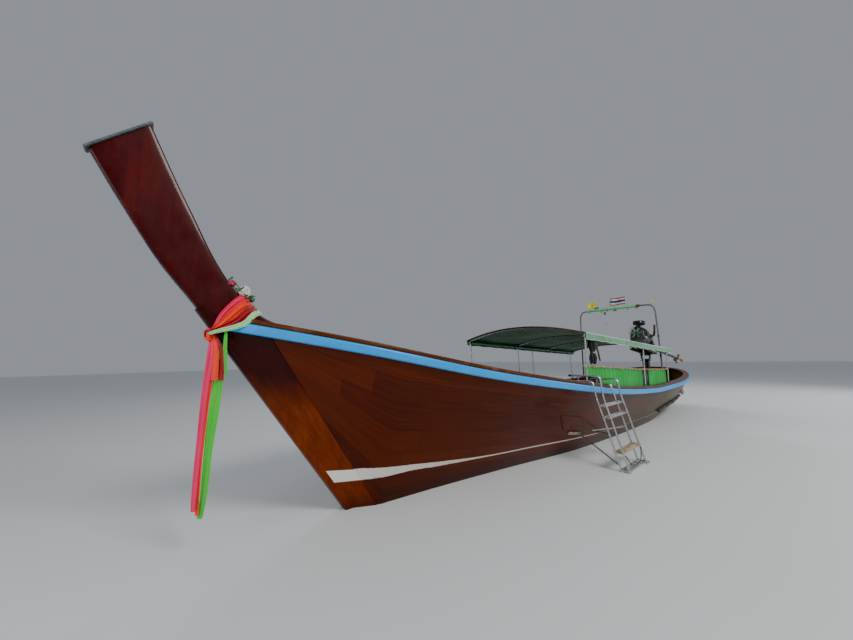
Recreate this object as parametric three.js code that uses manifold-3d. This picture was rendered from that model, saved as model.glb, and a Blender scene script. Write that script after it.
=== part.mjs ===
// Wooden longtail boat, afloat, with its canopy, boarding ladder and tail engine.
// Millimetres. +X is the bow, +Y is port and +Z is up.
// The origin is on the centreline at the waterline, close to amidships.

import * as THREE from "three";
import { mergeVertices } from "three/addons/utils/BufferGeometryUtils.js";
import Module from "manifold-3d";

const wasm = await Module();
wasm.setup();

// Hull lines
const GAP = 0.3;
const BOW_X = 4600;
const STERN_X = -6500;
const WIDEST_X = -400;
const HALF_BEAM = 1100;
const BOW_CLOSES = 90;
const BOW_POWER = 2.6;
const STERN_POWER = 9;
const PLANK = 32;
const HALF_STEM = 45;
const STEM_FOOT_X = 3500;
const STEM_RAKE = 0.69;
const STEM_JOINT_X = 3180;
const RABBET_RISE = 90;
const CHINE = 0.42;

// Heights along the hull: the sheer is the middle of the rub rail, the keel is the planks' lower edge
const SHEER = [
  { x: -6500, z: 950 }, { x: -5700, z: 830 }, { x: -5000, z: 780 }, { x: -4300, z: 745 },
  { x: -3300, z: 730 }, { x: -2300, z: 737 }, { x: -600, z: 847 }, { x: 1000, z: 1038 },
  { x: 2300, z: 1238 }, { x: 3560, z: 1505 }, { x: 4600, z: 1720 },
];
const KEEL_LINE = [
  { x: -6500, z: 80 }, { x: -6000, z: -20 }, { x: -5400, z: -50 }, { x: -4800, z: -90 },
  { x: -4000, z: -190 }, { x: -3000, z: -300 }, { x: -1500, z: -340 }, { x: -1000, z: -340 },
  { x: 1000, z: -340 }, { x: 1500, z: -340 }, { x: STEM_JOINT_X, z: -330 },
];
// How full each cross-section is: the power of its side curve, small for a round bilge
const FULLNESS = [
  { x: -6500, z: 0.4 }, { x: -4500, z: 0.36 }, { x: -2500, z: 0.36 }, { x: 0, z: 0.46 },
  { x: 1500, z: 0.72 }, { x: 3000, z: 0.95 }, { x: 4600, z: 1.0 },
];

// Rails and cap
const RAIL_HIGH = 84;
const RAIL_DEEP = 36;
const CAP_HIGH = 42;
const CAP_IN = 105;
const CAP_OUT = 14;

// Backbone
const KEEL_HIGH = 90;
const PROW_TOP = { x: 5430, z: 2890 };
const PROW_BACK = { x: 5120, z: 3200 };
const PROW_HALF = 40;

// Frames, floor and decks
const RIB_GROUPS = {
  aft: { ribs: [-5650, -5175, -4700, -4000], keelson: [-5900, -3650] },
  middle: { ribs: [-3300, -2600, -1900, -1200, -500], keelson: [-3650 + GAP, -150] },
  fore: { ribs: [200, 900, 1600, 2300, 3000], keelson: [-150 + GAP, 3160] },
};
const RIB_WIDE = 42;
const RIB_DEEP = 44;
const RIB_CLEAR = 10;
const RIB_SHARES = [0.04, 0.12, 0.26, 0.45, 0.68, 0.94];
const RISER_ENDS = [-3880, 2720];
const FLOOR_Z = 110;
const FLOOR_THICK = 24;
const FLOOR_ENDS = [-4030, 2850];
const THWART_Z = 520;
const THWART_XS = [1950, 550, -850, -2250, -3700];
const THWART_WIDE = 290;
const FOREDECK_ENDS = [2900, 4250];
const DECK_THICK = 24;
const AFT_DECK_Z = 590;
const AFT_DECK_ENDS = [-6250, -3980];

// Canopy: hoops stand on two side rails carried by posts on the gunwale, with a valance at each edge
const CANOPY_HALF = 1060;
const CANOPY_ENDS = [-3700, 480];
const HOOP_XS = [-3660, -2400, -1100, 440];
const POST_XS = { port: [-3450, -1950, 440], starboard: [-3450, -1640, -1080, 440] };
const CANOPY_EDGE = [
  { x: -3700, z: 1475 }, { x: -2900, z: 1515 }, { x: -2000, z: 1560 }, { x: -850, z: 1620 },
  { x: 480, z: 1687 },
];
const HOOP_RISE = 150;
const HOOP_SPREAD = [950, 780, 600, 420, 210, 0];
const PIPE = 15;
const HOOP_PIPE = 12;
const HOOP_FLAT = HOOP_PIPE * Math.cos(Math.PI / 6);
const CLOTH = 10;
const VALANCE = 110;

// Green sheet inside the port posts: the height of its laced top edge
const SHEET_ENDS = [-3450, 410];
const SHEET_Y = 1012;
const SHEET_TOP = [
  { x: -3450, z: 1090 }, { x: -2850, z: 1110 }, { x: -1900, z: 1145 }, { x: -1100, z: 1190 },
  { x: -300, z: 1240 }, { x: 410, z: 1278 },
];

// Stern frame
const FRAME_X = -3760;
const FRAME_HALF = 850;
const FRAME_Z = 2560;
const FRAME_PIPE = 17;

// Boarding ladder on the port side: two double stiles hooked over the gunwale
const STILE_XS = [-30, 550];
const STILE_YS = [1172, 1262];
const STILE_PIPE = 12;
const STILE_FLAT = STILE_PIPE * Math.cos(Math.PI / 6);
const LADDER_FOOT_Z = -160;
const LADDER_LEAN = 300;
const TREAD_ZS = [770, 630, 20, -130];
const WOOD_TREAD_Z = 240;

// Engine on its swivel, all placed from the tilting pin, with the tail at its resting slope
const PIVOT = { x: -5800, z: 1400 };
const TAIL_SLOPE = 7;
const CRANK_Z = 250;
const TAIL_END = 3500;
const TILLER_LENGTH = 1900;
const PIN = 18;

const smooth = (table, x) => {
  // A smooth line through a table of heights, by a cubic between neighbours
  const last = table.length - 1;
  let i = 0;
  while (i < last - 1 && x > table[i + 1].x) i++;
  const a = table[i], b = table[i + 1];
  const before = table[Math.max(i - 1, 0)], after = table[Math.min(i + 2, last)];
  const slopeA = i === 0 ? (b.z - a.z) / (b.x - a.x) : (b.z - before.z) / (b.x - before.x);
  const slopeB = i + 1 === last ? (b.z - a.z) / (b.x - a.x) : (after.z - a.z) / (after.x - a.x);
  const h = b.x - a.x, t = THREE.MathUtils.clamp((x - a.x) / h, 0, 1);
  const t2 = t * t, t3 = t2 * t;
  return (2 * t3 - 3 * t2 + 1) * a.z + (t3 - 2 * t2 + t) * h * slopeA
    + (3 * t2 - 2 * t3) * b.z + (t3 - t2) * h * slopeB;
};

const sheer = (x) => smooth(SHEER, x);
const fullness = (x) => smooth(FULLNESS, x);
const stemFace = (z) => STEM_FOOT_X + STEM_RAKE * z;

function halfBeam(x) {
  if (x > WIDEST_X) {
    const u = (x - WIDEST_X) / (BOW_X + BOW_CLOSES - WIDEST_X);
    return HALF_BEAM * (1 - u ** BOW_POWER);
  }
  const u = Math.min((WIDEST_X - x) / (WIDEST_X - STERN_X), 1);
  return HALF_BEAM * Math.sqrt(1 - u ** STERN_POWER);
}

function plankFoot(x) {
  // The planks' lower edge: along the keel, then up the raked stem
  const alongStem = (x - STEM_FOOT_X) / STEM_RAKE + RABBET_RISE;
  return Math.max(smooth(KEEL_LINE, Math.min(x, STEM_JOINT_X)), alongStem);
}

function hullSide(x, w) {
  // Outer face of the planking at a share w of the way from keel to sheer edge
  const foot = plankFoot(x), top = sheer(x) + RAIL_HIGH / 2;
  const y = HALF_STEM + 1 + Math.max(halfBeam(x) - HALF_STEM - 1, 0) * w ** fullness(x);
  return new THREE.Vector3(x, y, foot + (top - foot) * w);
}

function hullHalf(x, z) {
  const foot = plankFoot(x), top = sheer(x) + RAIL_HIGH / 2;
  return hullSide(x, THREE.MathUtils.clamp((z - foot) / (top - foot), 0, 1)).y;
}

function planCurve(count, to) {
  // Even steps along the port sheer from the stem to a half-breadth `to` near the stern's middle
  const points = [];
  const steps = 600;
  for (let i = 0; i <= steps; i++) {
    const x = WIDEST_X + (BOW_X - WIDEST_X) * (1 - i / steps);
    points.push([x, halfBeam(x)]);
  }
  for (let i = 1; i <= steps; i++) {
    const angle = Math.acos(to / HALF_BEAM) * i / steps;
    const u = Math.sin(angle) ** (2 / STERN_POWER);
    points.push([WIDEST_X - (WIDEST_X - STERN_X) * u, HALF_BEAM * Math.cos(angle)]);
  }
  const run = [0];
  for (let i = 1; i < points.length; i++) {
    run.push(run[i - 1] + Math.hypot(points[i][0] - points[i - 1][0], points[i][1] - points[i - 1][1]));
  }
  const even = [];
  for (let k = 0, j = 0; k <= count; k++) {
    const s = run[run.length - 1] * k / count;
    while (j < run.length - 2 && run[j + 1] < s) j++;
    const t = (s - run[j]) / (run[j + 1] - run[j]);
    even.push([0, 1].map((c) => points[j][c] + (points[j + 1][c] - points[j][c]) * t));
  }
  return even.map(([x, y], i) => {
    const a = even[Math.max(i - 1, 0)], b = even[Math.min(i + 1, count)];
    const length = Math.hypot(b[0] - a[0], b[1] - a[1]);
    return { x, y, nx: (b[1] - a[1]) / length, ny: (a[0] - b[0]) / length, z: sheer(x) };
  });
}

// Shapes
function closed(vertices, faces) {
  const geometry = new THREE.BufferGeometry();
  geometry.setAttribute("position", new THREE.Float32BufferAttribute(vertices.flat(), 3));
  geometry.setIndex(faces.flat());
  const flat = geometry.toNonIndexed();
  return facingOut(flat);
}

function volumeOf(geometry) {
  const p = geometry.attributes.position;
  let sum = 0;
  const a = new THREE.Vector3(), b = new THREE.Vector3(), c = new THREE.Vector3();
  for (let i = 0; i < p.count; i += 3) {
    a.fromBufferAttribute(p, i);
    b.fromBufferAttribute(p, i + 1);
    c.fromBufferAttribute(p, i + 2);
    sum += a.dot(b.cross(c));
  }
  return sum / 6;
}

function facingOut(geometry) {
  if (volumeOf(geometry) > 0) return geometry;
  const p = geometry.attributes.position;
  for (let i = 0; i < p.count; i += 3) {
    const b = [p.getX(i + 1), p.getY(i + 1), p.getZ(i + 1)];
    p.setXYZ(i + 1, p.getX(i + 2), p.getY(i + 2), p.getZ(i + 2));
    p.setXYZ(i + 2, ...b);
  }
  return geometry;
}

function bar(points, radius, sides, across) {
  // A straight-sided tube through points in a plane, where across is the plane's normal
  const side = new THREE.Vector3(...across);
  const path = points.map((p) => new THREE.Vector3(...p));
  return loft(path.map((point, i) => {
    const before = path[Math.max(i - 1, 0)], after = path[Math.min(i + 1, path.length - 1)];
    const a = point.clone().sub(before).normalize(), b = after.clone().sub(point).normalize();
    const up = new THREE.Vector3().crossVectors(a.add(b).normalize(), side);
    const at = (c) => point.clone().addScaledVector(side, c.x).addScaledVector(up, c.y);
    return circle(radius, sides).map(at);
  }));
}

function loft(rings) {
  // Closed body through rings of equal length, each ring a convex outline
  const n = rings[0].length;
  const faces = [];
  for (let i = 0; i < rings.length - 1; i++) {
    for (let j = 0; j < n; j++) {
      const a = i * n + j, b = i * n + (j + 1) % n;
      faces.push([a, b, b + n], [a, b + n, a + n]);
    }
  }
  const end = (rings.length - 1) * n;
  for (let j = 1; j < n - 1; j++) faces.push([0, j + 1, j], [end, end + j, end + j + 1]);
  return closed(rings.flat().map((v) => v.toArray()), faces);
}

function slab(outer, inner) {
  // Closed board between two grids of the same size
  const rows = outer.length, columns = outer[0].length, half = rows * columns;
  const at = (i, j) => i * columns + j;
  const faces = [];
  for (let i = 0; i < rows - 1; i++) {
    for (let j = 0; j < columns - 1; j++) {
      const [a, b, c, d] = [at(i, j), at(i + 1, j), at(i + 1, j + 1), at(i, j + 1)];
      faces.push([a, b, c], [a, c, d], [half + a, half + c, half + b], [half + a, half + d, half + c]);
    }
  }
  const edge = (a, b) => faces.push([a, half + b, b], [a, half + a, half + b]);
  for (let i = 0; i < rows - 1; i++) {
    // Both long edges are split along the same diagonal, so that two boards can lie edge to edge
    const [a, b] = [at(i, 0), at(i + 1, 0)];
    faces.push([a, half + a, b], [half + a, half + b, b]);
    edge(at(i + 1, columns - 1), at(i, columns - 1));
  }
  for (let j = 0; j < columns - 1; j++) {
    edge(at(0, j + 1), at(0, j));
    edge(at(rows - 1, j), at(rows - 1, j + 1));
  }
  return closed([...outer.flat(), ...inner.flat()].map((v) => v.toArray()), faces);
}

const loose = (geometry) => (geometry.index ? geometry.toNonIndexed() : geometry.clone());
const mirrored = (geometry) => facingOut(loose(geometry).scale(1, -1, 1));

function box(x, y, z) {
  const size = [x, y, z].map(([from, to]) => to - from);
  const middle = [x, y, z].map(([from, to]) => (from + to) / 2);
  return new THREE.BoxGeometry(...size).translate(...middle).toNonIndexed();
}

function rod(a, b, radius, sides = 10, radiusB = radius) {
  const from = new THREE.Vector3(...a), to = new THREE.Vector3(...b);
  const along = to.clone().sub(from);
  const geometry = new THREE.CylinderGeometry(radiusB, radius, along.length(), sides);
  const upright = new THREE.Vector3(0, 1, 0);
  const turn = new THREE.Quaternion().setFromUnitVectors(upright, along.clone().normalize());
  const middle = from.add(to).multiplyScalar(0.5);
  return geometry.applyQuaternion(turn).translate(...middle.toArray()).toNonIndexed();
}

function pipe(points, radius, steps, sides = 8) {
  // A round bar bent along a smooth line through the points
  const path = new THREE.CatmullRomCurve3(points.map((p) => new THREE.Vector3(...p)), false, "centripetal");
  const section = new THREE.Shape(circle(radius, sides));
  return new THREE.ExtrudeGeometry(section, { extrudePath: path, steps, curveSegments: 1 });
}

function circle(radius, sides) {
  return Array.from({ length: sides }, (_, i) => {
    const angle = 2 * Math.PI * i / sides;
    return new THREE.Vector2(radius * Math.cos(angle), radius * Math.sin(angle));
  });
}

function sidePlate(points, y, thick) {
  // A flat board cut to an outline of [x, z] points, standing on edge
  const shape = new THREE.Shape(points.map(([x, z]) => new THREE.Vector2(x, z)));
  const geometry = new THREE.ExtrudeGeometry(shape, { depth: thick, bevelEnabled: false });
  return geometry.rotateX(Math.PI / 2).translate(0, y + thick / 2, 0);
}

function solid(geometry) {
  const bare = geometry.clone();
  for (const name of Object.keys(bare.attributes)) if (name !== "position") bare.deleteAttribute(name);
  const merged = mergeVertices(bare, 1e-3);
  return new wasm.Manifold(new wasm.Mesh({
    numProp: 3,
    vertProperties: new Float32Array(merged.attributes.position.array),
    triVerts: new Uint32Array(merged.index.array),
  }));
}

function surface(body) {
  const mesh = body.getMesh();
  const geometry = new THREE.BufferGeometry();
  geometry.setAttribute("position", new THREE.Float32BufferAttribute(mesh.vertProperties, 3));
  geometry.setIndex(new THREE.Uint32BufferAttribute(mesh.triVerts, 1));
  return geometry;
}

function joined(...parts) {
  return surface(parts.map(solid).reduce((a, b) => a.add(b)));
}

function without(part, ...cutters) {
  return surface(cutters.map(solid).reduce((a, b) => a.subtract(b), solid(part)));
}

// Materials
const paint = (color, roughness, metalness = 0) => (
  new THREE.MeshStandardMaterial({ color, roughness, metalness })
);
const materials = {
  varnish: paint(0x8a4a1f, 0.35),
  darkVarnish: paint(0x4a0f0c, 0.4),
  plainWood: paint(0x8d7355, 0.7),
  blackTimber: paint(0x221d1a, 0.8),
  blue: paint(0x1e9be0, 0.45),
  steel: paint(0xb9bcbe, 0.3, 0.9),
  greyPaint: paint(0x6f7a72, 0.5, 0.2),
  castIron: paint(0x1b1d1f, 0.6, 0.5),
  canopyCloth: paint(0x2d6b4a, 0.85),
  greenSheet: paint(0x35c167, 0.6),
  ribbon: paint(0xe0304a, 0.8),
  flower: paint(0xe8e4dc, 0.8),
  yellow: paint(0xe8c92a, 0.7),
  bronze: paint(0xa8803c, 0.4, 0.8),
  rubber: paint(0x151515, 0.9),
};

const boat = new THREE.Group();
function add(name, geometry, material, parent = boat) {
  const mesh = new THREE.Mesh(geometry, materials[material]);
  mesh.name = name;
  parent.add(mesh);
  return mesh;
}
function addPair(name, geometry, material) {
  add(`${name}_port`, geometry, material);
  add(`${name}_starboard`, mirrored(geometry), material);
}

// Planking
const STATIONS = planCurve(38, HALF_STEM + 1.5);

function planking(from, to, rows, stations = STATIONS) {
  // One side of the hull between two shares of its height, as thick as a plank
  const outer = [], inner = [];
  for (const s of stations) {
    const line = [], back = [];
    for (let j = 0; j <= rows; j++) {
      const w = from + (to - from) * (j / rows) ** (from < 0.1 ? 2 : 1);
      const point = hullSide(s.x, w);
      const up = hullSide(s.x, Math.min(w + 0.01, 1)).sub(hullSide(s.x, Math.max(w - 0.01, 0)));
      const tilt = Math.atan2(up.z, Math.abs(up.y));
      // The thickness leans with the section's own slope, and is level at the top edge
      const lean = THREE.MathUtils.clamp((1 - w) / (1 - CHINE), 0, 1) * Math.cos(tilt);
      const dir = new THREE.Vector3(-s.nx * Math.sin(tilt), -s.ny * Math.sin(tilt), lean);
      const moved = point.clone().addScaledVector(dir, PLANK);
      moved.y = Math.max(moved.y, HALF_STEM + 1);
      line.push(point);
      back.push(moved);
    }
    outer.push(line);
    inner.push(back);
  }
  return slab(outer, inner);
}

// The bottom is planked in three lengths, numbered by their end stations, that butt with a hair's gap
const BOTTOM_LENGTHS = { fore: [0, 13], middle: [13, 25], aft: [25, 38] };
for (const [place, [first, last]] of Object.entries(BOTTOM_LENGTHS)) {
  const stations = STATIONS.slice(first, last + 1);
  if (first > 0) stations[0] = { ...stations[0], x: stations[0].x - GAP };
  const bottom = planking(0, CHINE - 0.0004, 5, stations);
  addPair(`bottom_planking_${place}`, bottom, "varnish");
}
addPair("side_planking", planking(CHINE + 0.0004, 1, 4), "varnish");

// Rub rail and gunwale cap, carried round the stern to the centreline
function edgeStrip(out, thick, low, high) {
  const last = STATIONS[STATIONS.length - 1];
  const stations = [...STATIONS, { ...last, y: GAP, nx: -1, ny: 0 }];
  const rings = stations.map((s) => {
    const least = s.x > 0 ? HALF_STEM + 1 : GAP;
    const corner = (offset, z) => new THREE.Vector3(
      s.x + s.nx * offset, Math.max(s.y + s.ny * offset, least), s.z + z);
    return [corner(out, low), corner(out + thick, low), corner(out + thick, high), corner(out, high)];
  });
  return loft(rings);
}
addPair("rub_rail", edgeStrip(1.5, RAIL_DEEP, -RAIL_HIGH / 2, RAIL_HIGH / 2), "blue");
const CAP_LOW = RAIL_HIGH / 2 + 1.05;
const CAP_TOP = CAP_LOW + CAP_HIGH;
addPair("gunwale_cap", edgeStrip(-CAP_IN, CAP_IN + CAP_OUT, CAP_LOW, CAP_TOP), "varnish");

// Backbone: keel, stem with its tall prow board, and stern post
const keelTop = (x) => smooth(KEEL_LINE, x) - 2;
const STERN_JOINT_X = -6150;
const KEEL_XS = [
  STERN_JOINT_X, -5900, -5650, -5400, -5100, -4800, -4400, -4000, -3650, -3000, -1500, -1000, -150,
  1000, 1500, 3000, STEM_JOINT_X,
];
const keelOutline = [
  ...KEEL_XS.map((x) => [x, keelTop(x) + 1.5]),
  ...[...KEEL_XS].reverse().map((x) => [x, keelTop(x) - KEEL_HIGH]),
];
add("keel", sidePlate(keelOutline, 0, 2 * HALF_STEM), "blackTimber");

const stemHead = 1830;
const stemHeel = STEM_JOINT_X + GAP;
const stemOutline = [
  [stemHeel, -330], [stemHeel, -420], [3250, -400], [stemFace(-250), -250], [stemFace(0), 0],
  [stemFace(stemHead), stemHead], [stemFace(stemHead) - 330, stemHead - 60],
  [stemFace(1650) - 330, 1650], [stemFace(300) - 190, 300], [stemFace(0) - 190, 0], [stemHeel, -180],
];
add("stem_post", sidePlate(stemOutline, 0, 2 * HALF_STEM), "varnish");

const prowOutline = [
  [stemFace(stemHead) - 1, stemHead + GAP], [5020, 2180], [5270, 2600], [PROW_TOP.x, PROW_TOP.z],
  [PROW_BACK.x, PROW_BACK.z], [4950, 2820], [4820, 2550], [4690, 2280], [4570, 2080],
  [4460, 1930], [stemFace(stemHead) - 330, stemHead - 60 + GAP],
];
add("prow_board", sidePlate(prowOutline, 0, 2 * PROW_HALF), "darkVarnish");
// The cap lies on the sloping tip: it stands CAP_RISE off it and hangs over each end by CAP_OVER
const CAP_RISE = 26 * Math.SQRT1_2;
const CAP_OVER = 12 * Math.SQRT1_2;
const capCorner = (tip, over, rise) => [tip.x + over + rise, tip.z - over + rise];
add("prow_cap", sidePlate([
  capCorner(PROW_TOP, CAP_OVER, GAP), capCorner(PROW_TOP, CAP_OVER, CAP_RISE),
  capCorner(PROW_BACK, -CAP_OVER, CAP_RISE), capCorner(PROW_BACK, -CAP_OVER, GAP),
], 0, 2 * PROW_HALF + 30), "plainWood");

const postTop = (x) => sheer(x) + RAIL_HIGH / 2 - 2;
add("stern_post", sidePlate([
  [STERN_JOINT_X - GAP, keelTop(STERN_JOINT_X) - KEEL_HIGH],
  [STERN_JOINT_X - GAP, keelTop(STERN_JOINT_X) + 60], [-6330, postTop(-6330)],
  [STERN_X + 1, postTop(STERN_X + 1)], [STERN_X + 1, keelTop(STERN_X + 1) - KEEL_HIGH / 2],
], 0, 2 * HALF_STEM), "blackTimber");

// Ribs inside the planking, joined to the keelson, with floor beams and the risers that carry the thwarts
function planNormal(x) {
  const slope = (halfBeam(x + 5) - halfBeam(x - 5)) / 10;
  return new THREE.Vector3(-slope, 1, 0).normalize();
}

function insideHull(x, w, depth) {
  const up = hullSide(x, Math.min(w + 0.01, 1)).sub(hullSide(x, Math.max(w - 0.01, 0)));
  const tilt = Math.atan2(up.z, Math.abs(up.y));
  const lean = THREE.MathUtils.clamp((1 - w) / (1 - CHINE), 0, 1) * Math.cos(tilt);
  const inward = planNormal(x).multiplyScalar(-Math.sin(tilt)).setZ(lean);
  return hullSide(x, w).addScaledVector(inward, depth);
}

function rib(x) {
  const ring = (points) => points.map(([px, py, pz]) => new THREE.Vector3(px, py, pz));
  const [back, front] = [x - RIB_WIDE / 2, x + RIB_WIDE / 2];
  const low = PLANK + RIB_CLEAR, high = low + RIB_DEEP;
  const foot = plankFoot(x) + low + 4;
  const heel = foot + RIB_DEEP;
  const rings = [ring([[back, 12, foot], [front, 12, foot], [front, 12, heel], [back, 12, heel]])];
  for (const w of RIB_SHARES) {
    const corner = (px, depth) => {
      const point = insideHull(px, w, depth);
      return [px, Math.max(point.y, 13), point.z];
    };
    rings.push(ring([corner(back, low), corner(front, low), corner(front, high), corner(back, high)]));
  }
  return loft(rings);
}

function ribFace(x, z) {
  // Half-breadth to the ribs' inner faces at a height
  const line = RIB_SHARES.map((w) => insideHull(x, w, PLANK + RIB_CLEAR + RIB_DEEP));
  const i = line.findIndex((point) => point.z > z);
  return line[i - 1].y + (line[i].y - line[i - 1].y) * (z - line[i - 1].z) / (line[i].z - line[i - 1].z);
}

function riser() {
  const allRibs = Object.values(RIB_GROUPS).flatMap((group) => group.ribs);
  const ribXs = allRibs.filter((x) => x > RISER_ENDS[0] && x < RISER_ENDS[1]);
  return loft([RISER_ENDS[0], ...ribXs, RISER_ENDS[1]].map((x) => {
    const out = (z) => Math.min(...[-1, 1].map((side) => ribFace(x + side * RIB_WIDE / 2, z))) - 2 * GAP;
    const [low, high] = [THWART_Z - 60, THWART_Z - GAP];
    return [[out(low), low], [out(high), high], [out(low) - 44, high], [out(low) - 44, low]]
      .map(([y, z]) => new THREE.Vector3(x, y, z));
  }));
}

function keelson(ends) {
  const xs = [ends[0], ...KEEL_XS.filter((x) => x > ends[0] + 50 && x < ends[1] - 50), ends[1]];
  return sidePlate([
    ...xs.map((x) => [x, smooth(KEEL_LINE, x) - 0.2]),
    ...[...xs].reverse().map((x) => [x, smooth(KEEL_LINE, x) + 105]),
  ], 0, 76);
}
function crossBeam(x, top, inset) {
  const half = hullHalf(x, top - 60) - PLANK - inset;
  return box([x - 20, x + 20], [-half, half], [top - 62, top - GAP]);
}
for (const [place, group] of Object.entries(RIB_GROUPS)) {
  const beams = group.ribs.filter((x) => x > FLOOR_ENDS[0]).map((x) => crossBeam(x, FLOOR_Z, 40));
  const deckBeams = group.ribs.filter((x) => x < AFT_DECK_ENDS[1]).map((x) => crossBeam(x, AFT_DECK_Z, 26));
  const ribs = group.ribs.flatMap((x) => [rib(x), mirrored(rib(x))]);
  add(`frames_${place}`, joined(keelson(group.keelson), ...ribs, ...beams, ...deckBeams), "plainWood");
}
addPair("riser", riser(), "plainWood");

// Floorboards, decks and thwarts
function deckBoard(ends, count, top, thick, inset) {
  // A deck cut to the hull's inner outline
  const rings = [];
  for (let i = 0; i <= count; i++) {
    const x = ends[0] + (ends[1] - ends[0]) * i / count;
    const half = Math.min(hullHalf(x, top - thick), hullHalf(x, top)) - inset;
    rings.push([[-half, top - thick], [half, top - thick], [half, top], [-half, top]]
      .map(([py, pz]) => new THREE.Vector3(x, py, pz)));
  }
  return loft(rings);
}
add("floorboards", deckBoard(FLOOR_ENDS, 12, FLOOR_Z + FLOOR_THICK, FLOOR_THICK, 165), "greyPaint");
const foreStations = STATIONS.filter((s) => s.x > FOREDECK_ENDS[0] && s.x < FOREDECK_ENDS[1]);
add("foredeck", loft(foreStations.map((s) => {
  // The deck's edge lies under the gunwale cap, a little in from the planking
  const top = s.z + CAP_LOW - 2 * GAP, x = s.x - s.nx * 60, half = s.y - s.ny * 60;
  return [[-half, top - DECK_THICK], [half, top - DECK_THICK], [half, top], [-half, top]]
    .map(([y, z]) => new THREE.Vector3(x, y, z));
})), "varnish");
add("aft_deck", deckBoard(AFT_DECK_ENDS, 10, AFT_DECK_Z + DECK_THICK, DECK_THICK, 118), "greyPaint");
THWART_XS.forEach((x, i) => {
  const edges = [x - THWART_WIDE / 2, x + THWART_WIDE / 2];
  const half = Math.min(...edges.map((e) => hullHalf(e, THWART_Z))) - PLANK - 30;
  add(`thwart_${i + 1}`, box(edges, [-half, half], [THWART_Z, THWART_Z + 30]), "plainWood");
});

// Canopy posts, side rails, hoops and cloth
function capTop(x) {
  // The cap's top is straight between the stations that it is lofted through
  const i = STATIONS.findIndex((s) => s.x <= x);
  const [a, b] = [STATIONS[i - 1], STATIONS[i]];
  return a.z + (b.z - a.z) * (x - a.x) / (b.x - a.x) + CAP_TOP;
}
const canopyEdge = (x) => smooth(CANOPY_EDGE, x);
const RAIL_XS = [-3690, -3660, -3450, -2930, -2400, -1950, -1500, -1100, -500, 0, 440, 470];
function canopySide(side) {
  const sign = side === "port" ? 1 : -1;
  const rail = bar(RAIL_XS.map((x) => [x, sign * CANOPY_HALF, canopyEdge(x)]), PIPE, 8, [0, 1, 0]);
  const posts = POST_XS[side].map((x) => {
    const foot = Math.max(capTop(x - HOOP_PIPE), capTop(x + HOOP_PIPE)) + 2 * GAP;
    return bar([[x, sign * (CANOPY_HALF - 20), foot], [x, sign * (CANOPY_HALF - 20), foot + 20],
      [x, sign * CANOPY_HALF, canopyEdge(x)]], HOOP_PIPE, 8, [1, 0, 0]);
  });
  return joined(rail, ...posts);
}
for (const side of ["port", "starboard"]) add(`canopy_side_${side}`, canopySide(side), "steel");

const roofRise = (y) => HOOP_RISE * (1 - (Math.min(Math.abs(y), CANOPY_HALF) / CANOPY_HALF) ** 2);
const HOOP_LIFT = 2 * PIPE + 6;
HOOP_XS.forEach((x, i) => {
  const low = canopyEdge(x) + PIPE + 3 * GAP;
  const arch = HOOP_SPREAD.map((y) => [y, canopyEdge(x) + HOOP_LIFT + roofRise(y)]);
  const half = [[CANOPY_HALF, low], [CANOPY_HALF, low + 10], ...arch];
  const port = half.map(([y, z]) => [x, y, z]);
  const starboard = half.slice(0, -1).map(([y, z]) => [x, -y, z]).reverse();
  add(`canopy_hoop_${4 - i}`, bar([...port, ...starboard], HOOP_PIPE, 6, [1, 0, 0]), "steel");
});

function canopyCloth() {
  const xs = [CANOPY_ENDS[0] - 10, -3660, -2930, -2400, -1750, -1100, -330, 440, CANOPY_ENDS[1] + 20];
  const spread = [...HOOP_SPREAD, ...HOOP_SPREAD.slice(0, -1).map((y) => -y).reverse()];
  const sheetOf = (inner) => xs.map((x) => {
    const lift = canopyEdge(x) + HOOP_LIFT + HOOP_FLAT + 2 * GAP + (inner ? 0 : CLOTH);
    const edge = CANOPY_HALF + (inner ? 34 : 44);
    const side = (sign) => [[sign * edge, lift - VALANCE], [sign * edge, lift]];
    return [...side(1), ...spread.map((y) => [y, lift + roofRise(y)]), ...side(-1).reverse()]
      .map(([y, z]) => new THREE.Vector3(x, y, z));
  });
  return slab(sheetOf(false), sheetOf(true));
}
add("canopy_cloth", canopyCloth(), "canopyCloth");

// Green sheet laced inside the port posts, gathered up over the ladder's hooks
const HOOKS_FROM = STILE_XS[0] - 60;
function sideSheet() {
  const inside = STATIONS.map((s) => s.x).filter((x) => x > SHEET_ENDS[0] + 20 && x < HOOKS_FROM - 20);
  const xs = [SHEET_ENDS[0], ...inside.reverse(), HOOKS_FROM - 60, HOOKS_FROM, 200, SHEET_ENDS[1]];
  const face = (y) => xs.map((x) => {
    const low = capTop(x) + (x < HOOKS_FROM ? 2 * GAP : 112);
    return [low, smooth(SHEET_TOP, x)].map((z) => new THREE.Vector3(x, y, z));
  });
  return slab(face(SHEET_Y), face(SHEET_Y - 8));
}
add("side_sheet_port", sideSheet(), "greenSheet");

// Stern frame with its rolled awning and two flags
const FLAGS_AT = [-430, 260];
const frameFoot = THWART_Z + 30 + 2 * GAP;
function sternFrame() {
  const corner = 130;
  const half = [
    [FRAME_HALF + 30, frameFoot], [FRAME_HALF + 30, frameFoot + 60], [FRAME_HALF + 20, 1500],
    [FRAME_HALF, FRAME_Z - corner], [FRAME_HALF - 40, FRAME_Z - 35], [FRAME_HALF - corner, FRAME_Z],
  ];
  const port = half.map(([y, z]) => [FRAME_X, y, z]);
  const starboard = half.map(([y, z]) => [FRAME_X, -y, z]).reverse();
  const staffs = FLAGS_AT.map((y) => rod([FRAME_X, y, FRAME_Z], [FRAME_X, y, FRAME_Z + 290], 6, 6));
  return joined(pipe([...port, ...starboard], FRAME_PIPE, 36, 6), ...staffs);
}
add("stern_frame", sternFrame(), "steel");

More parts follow.
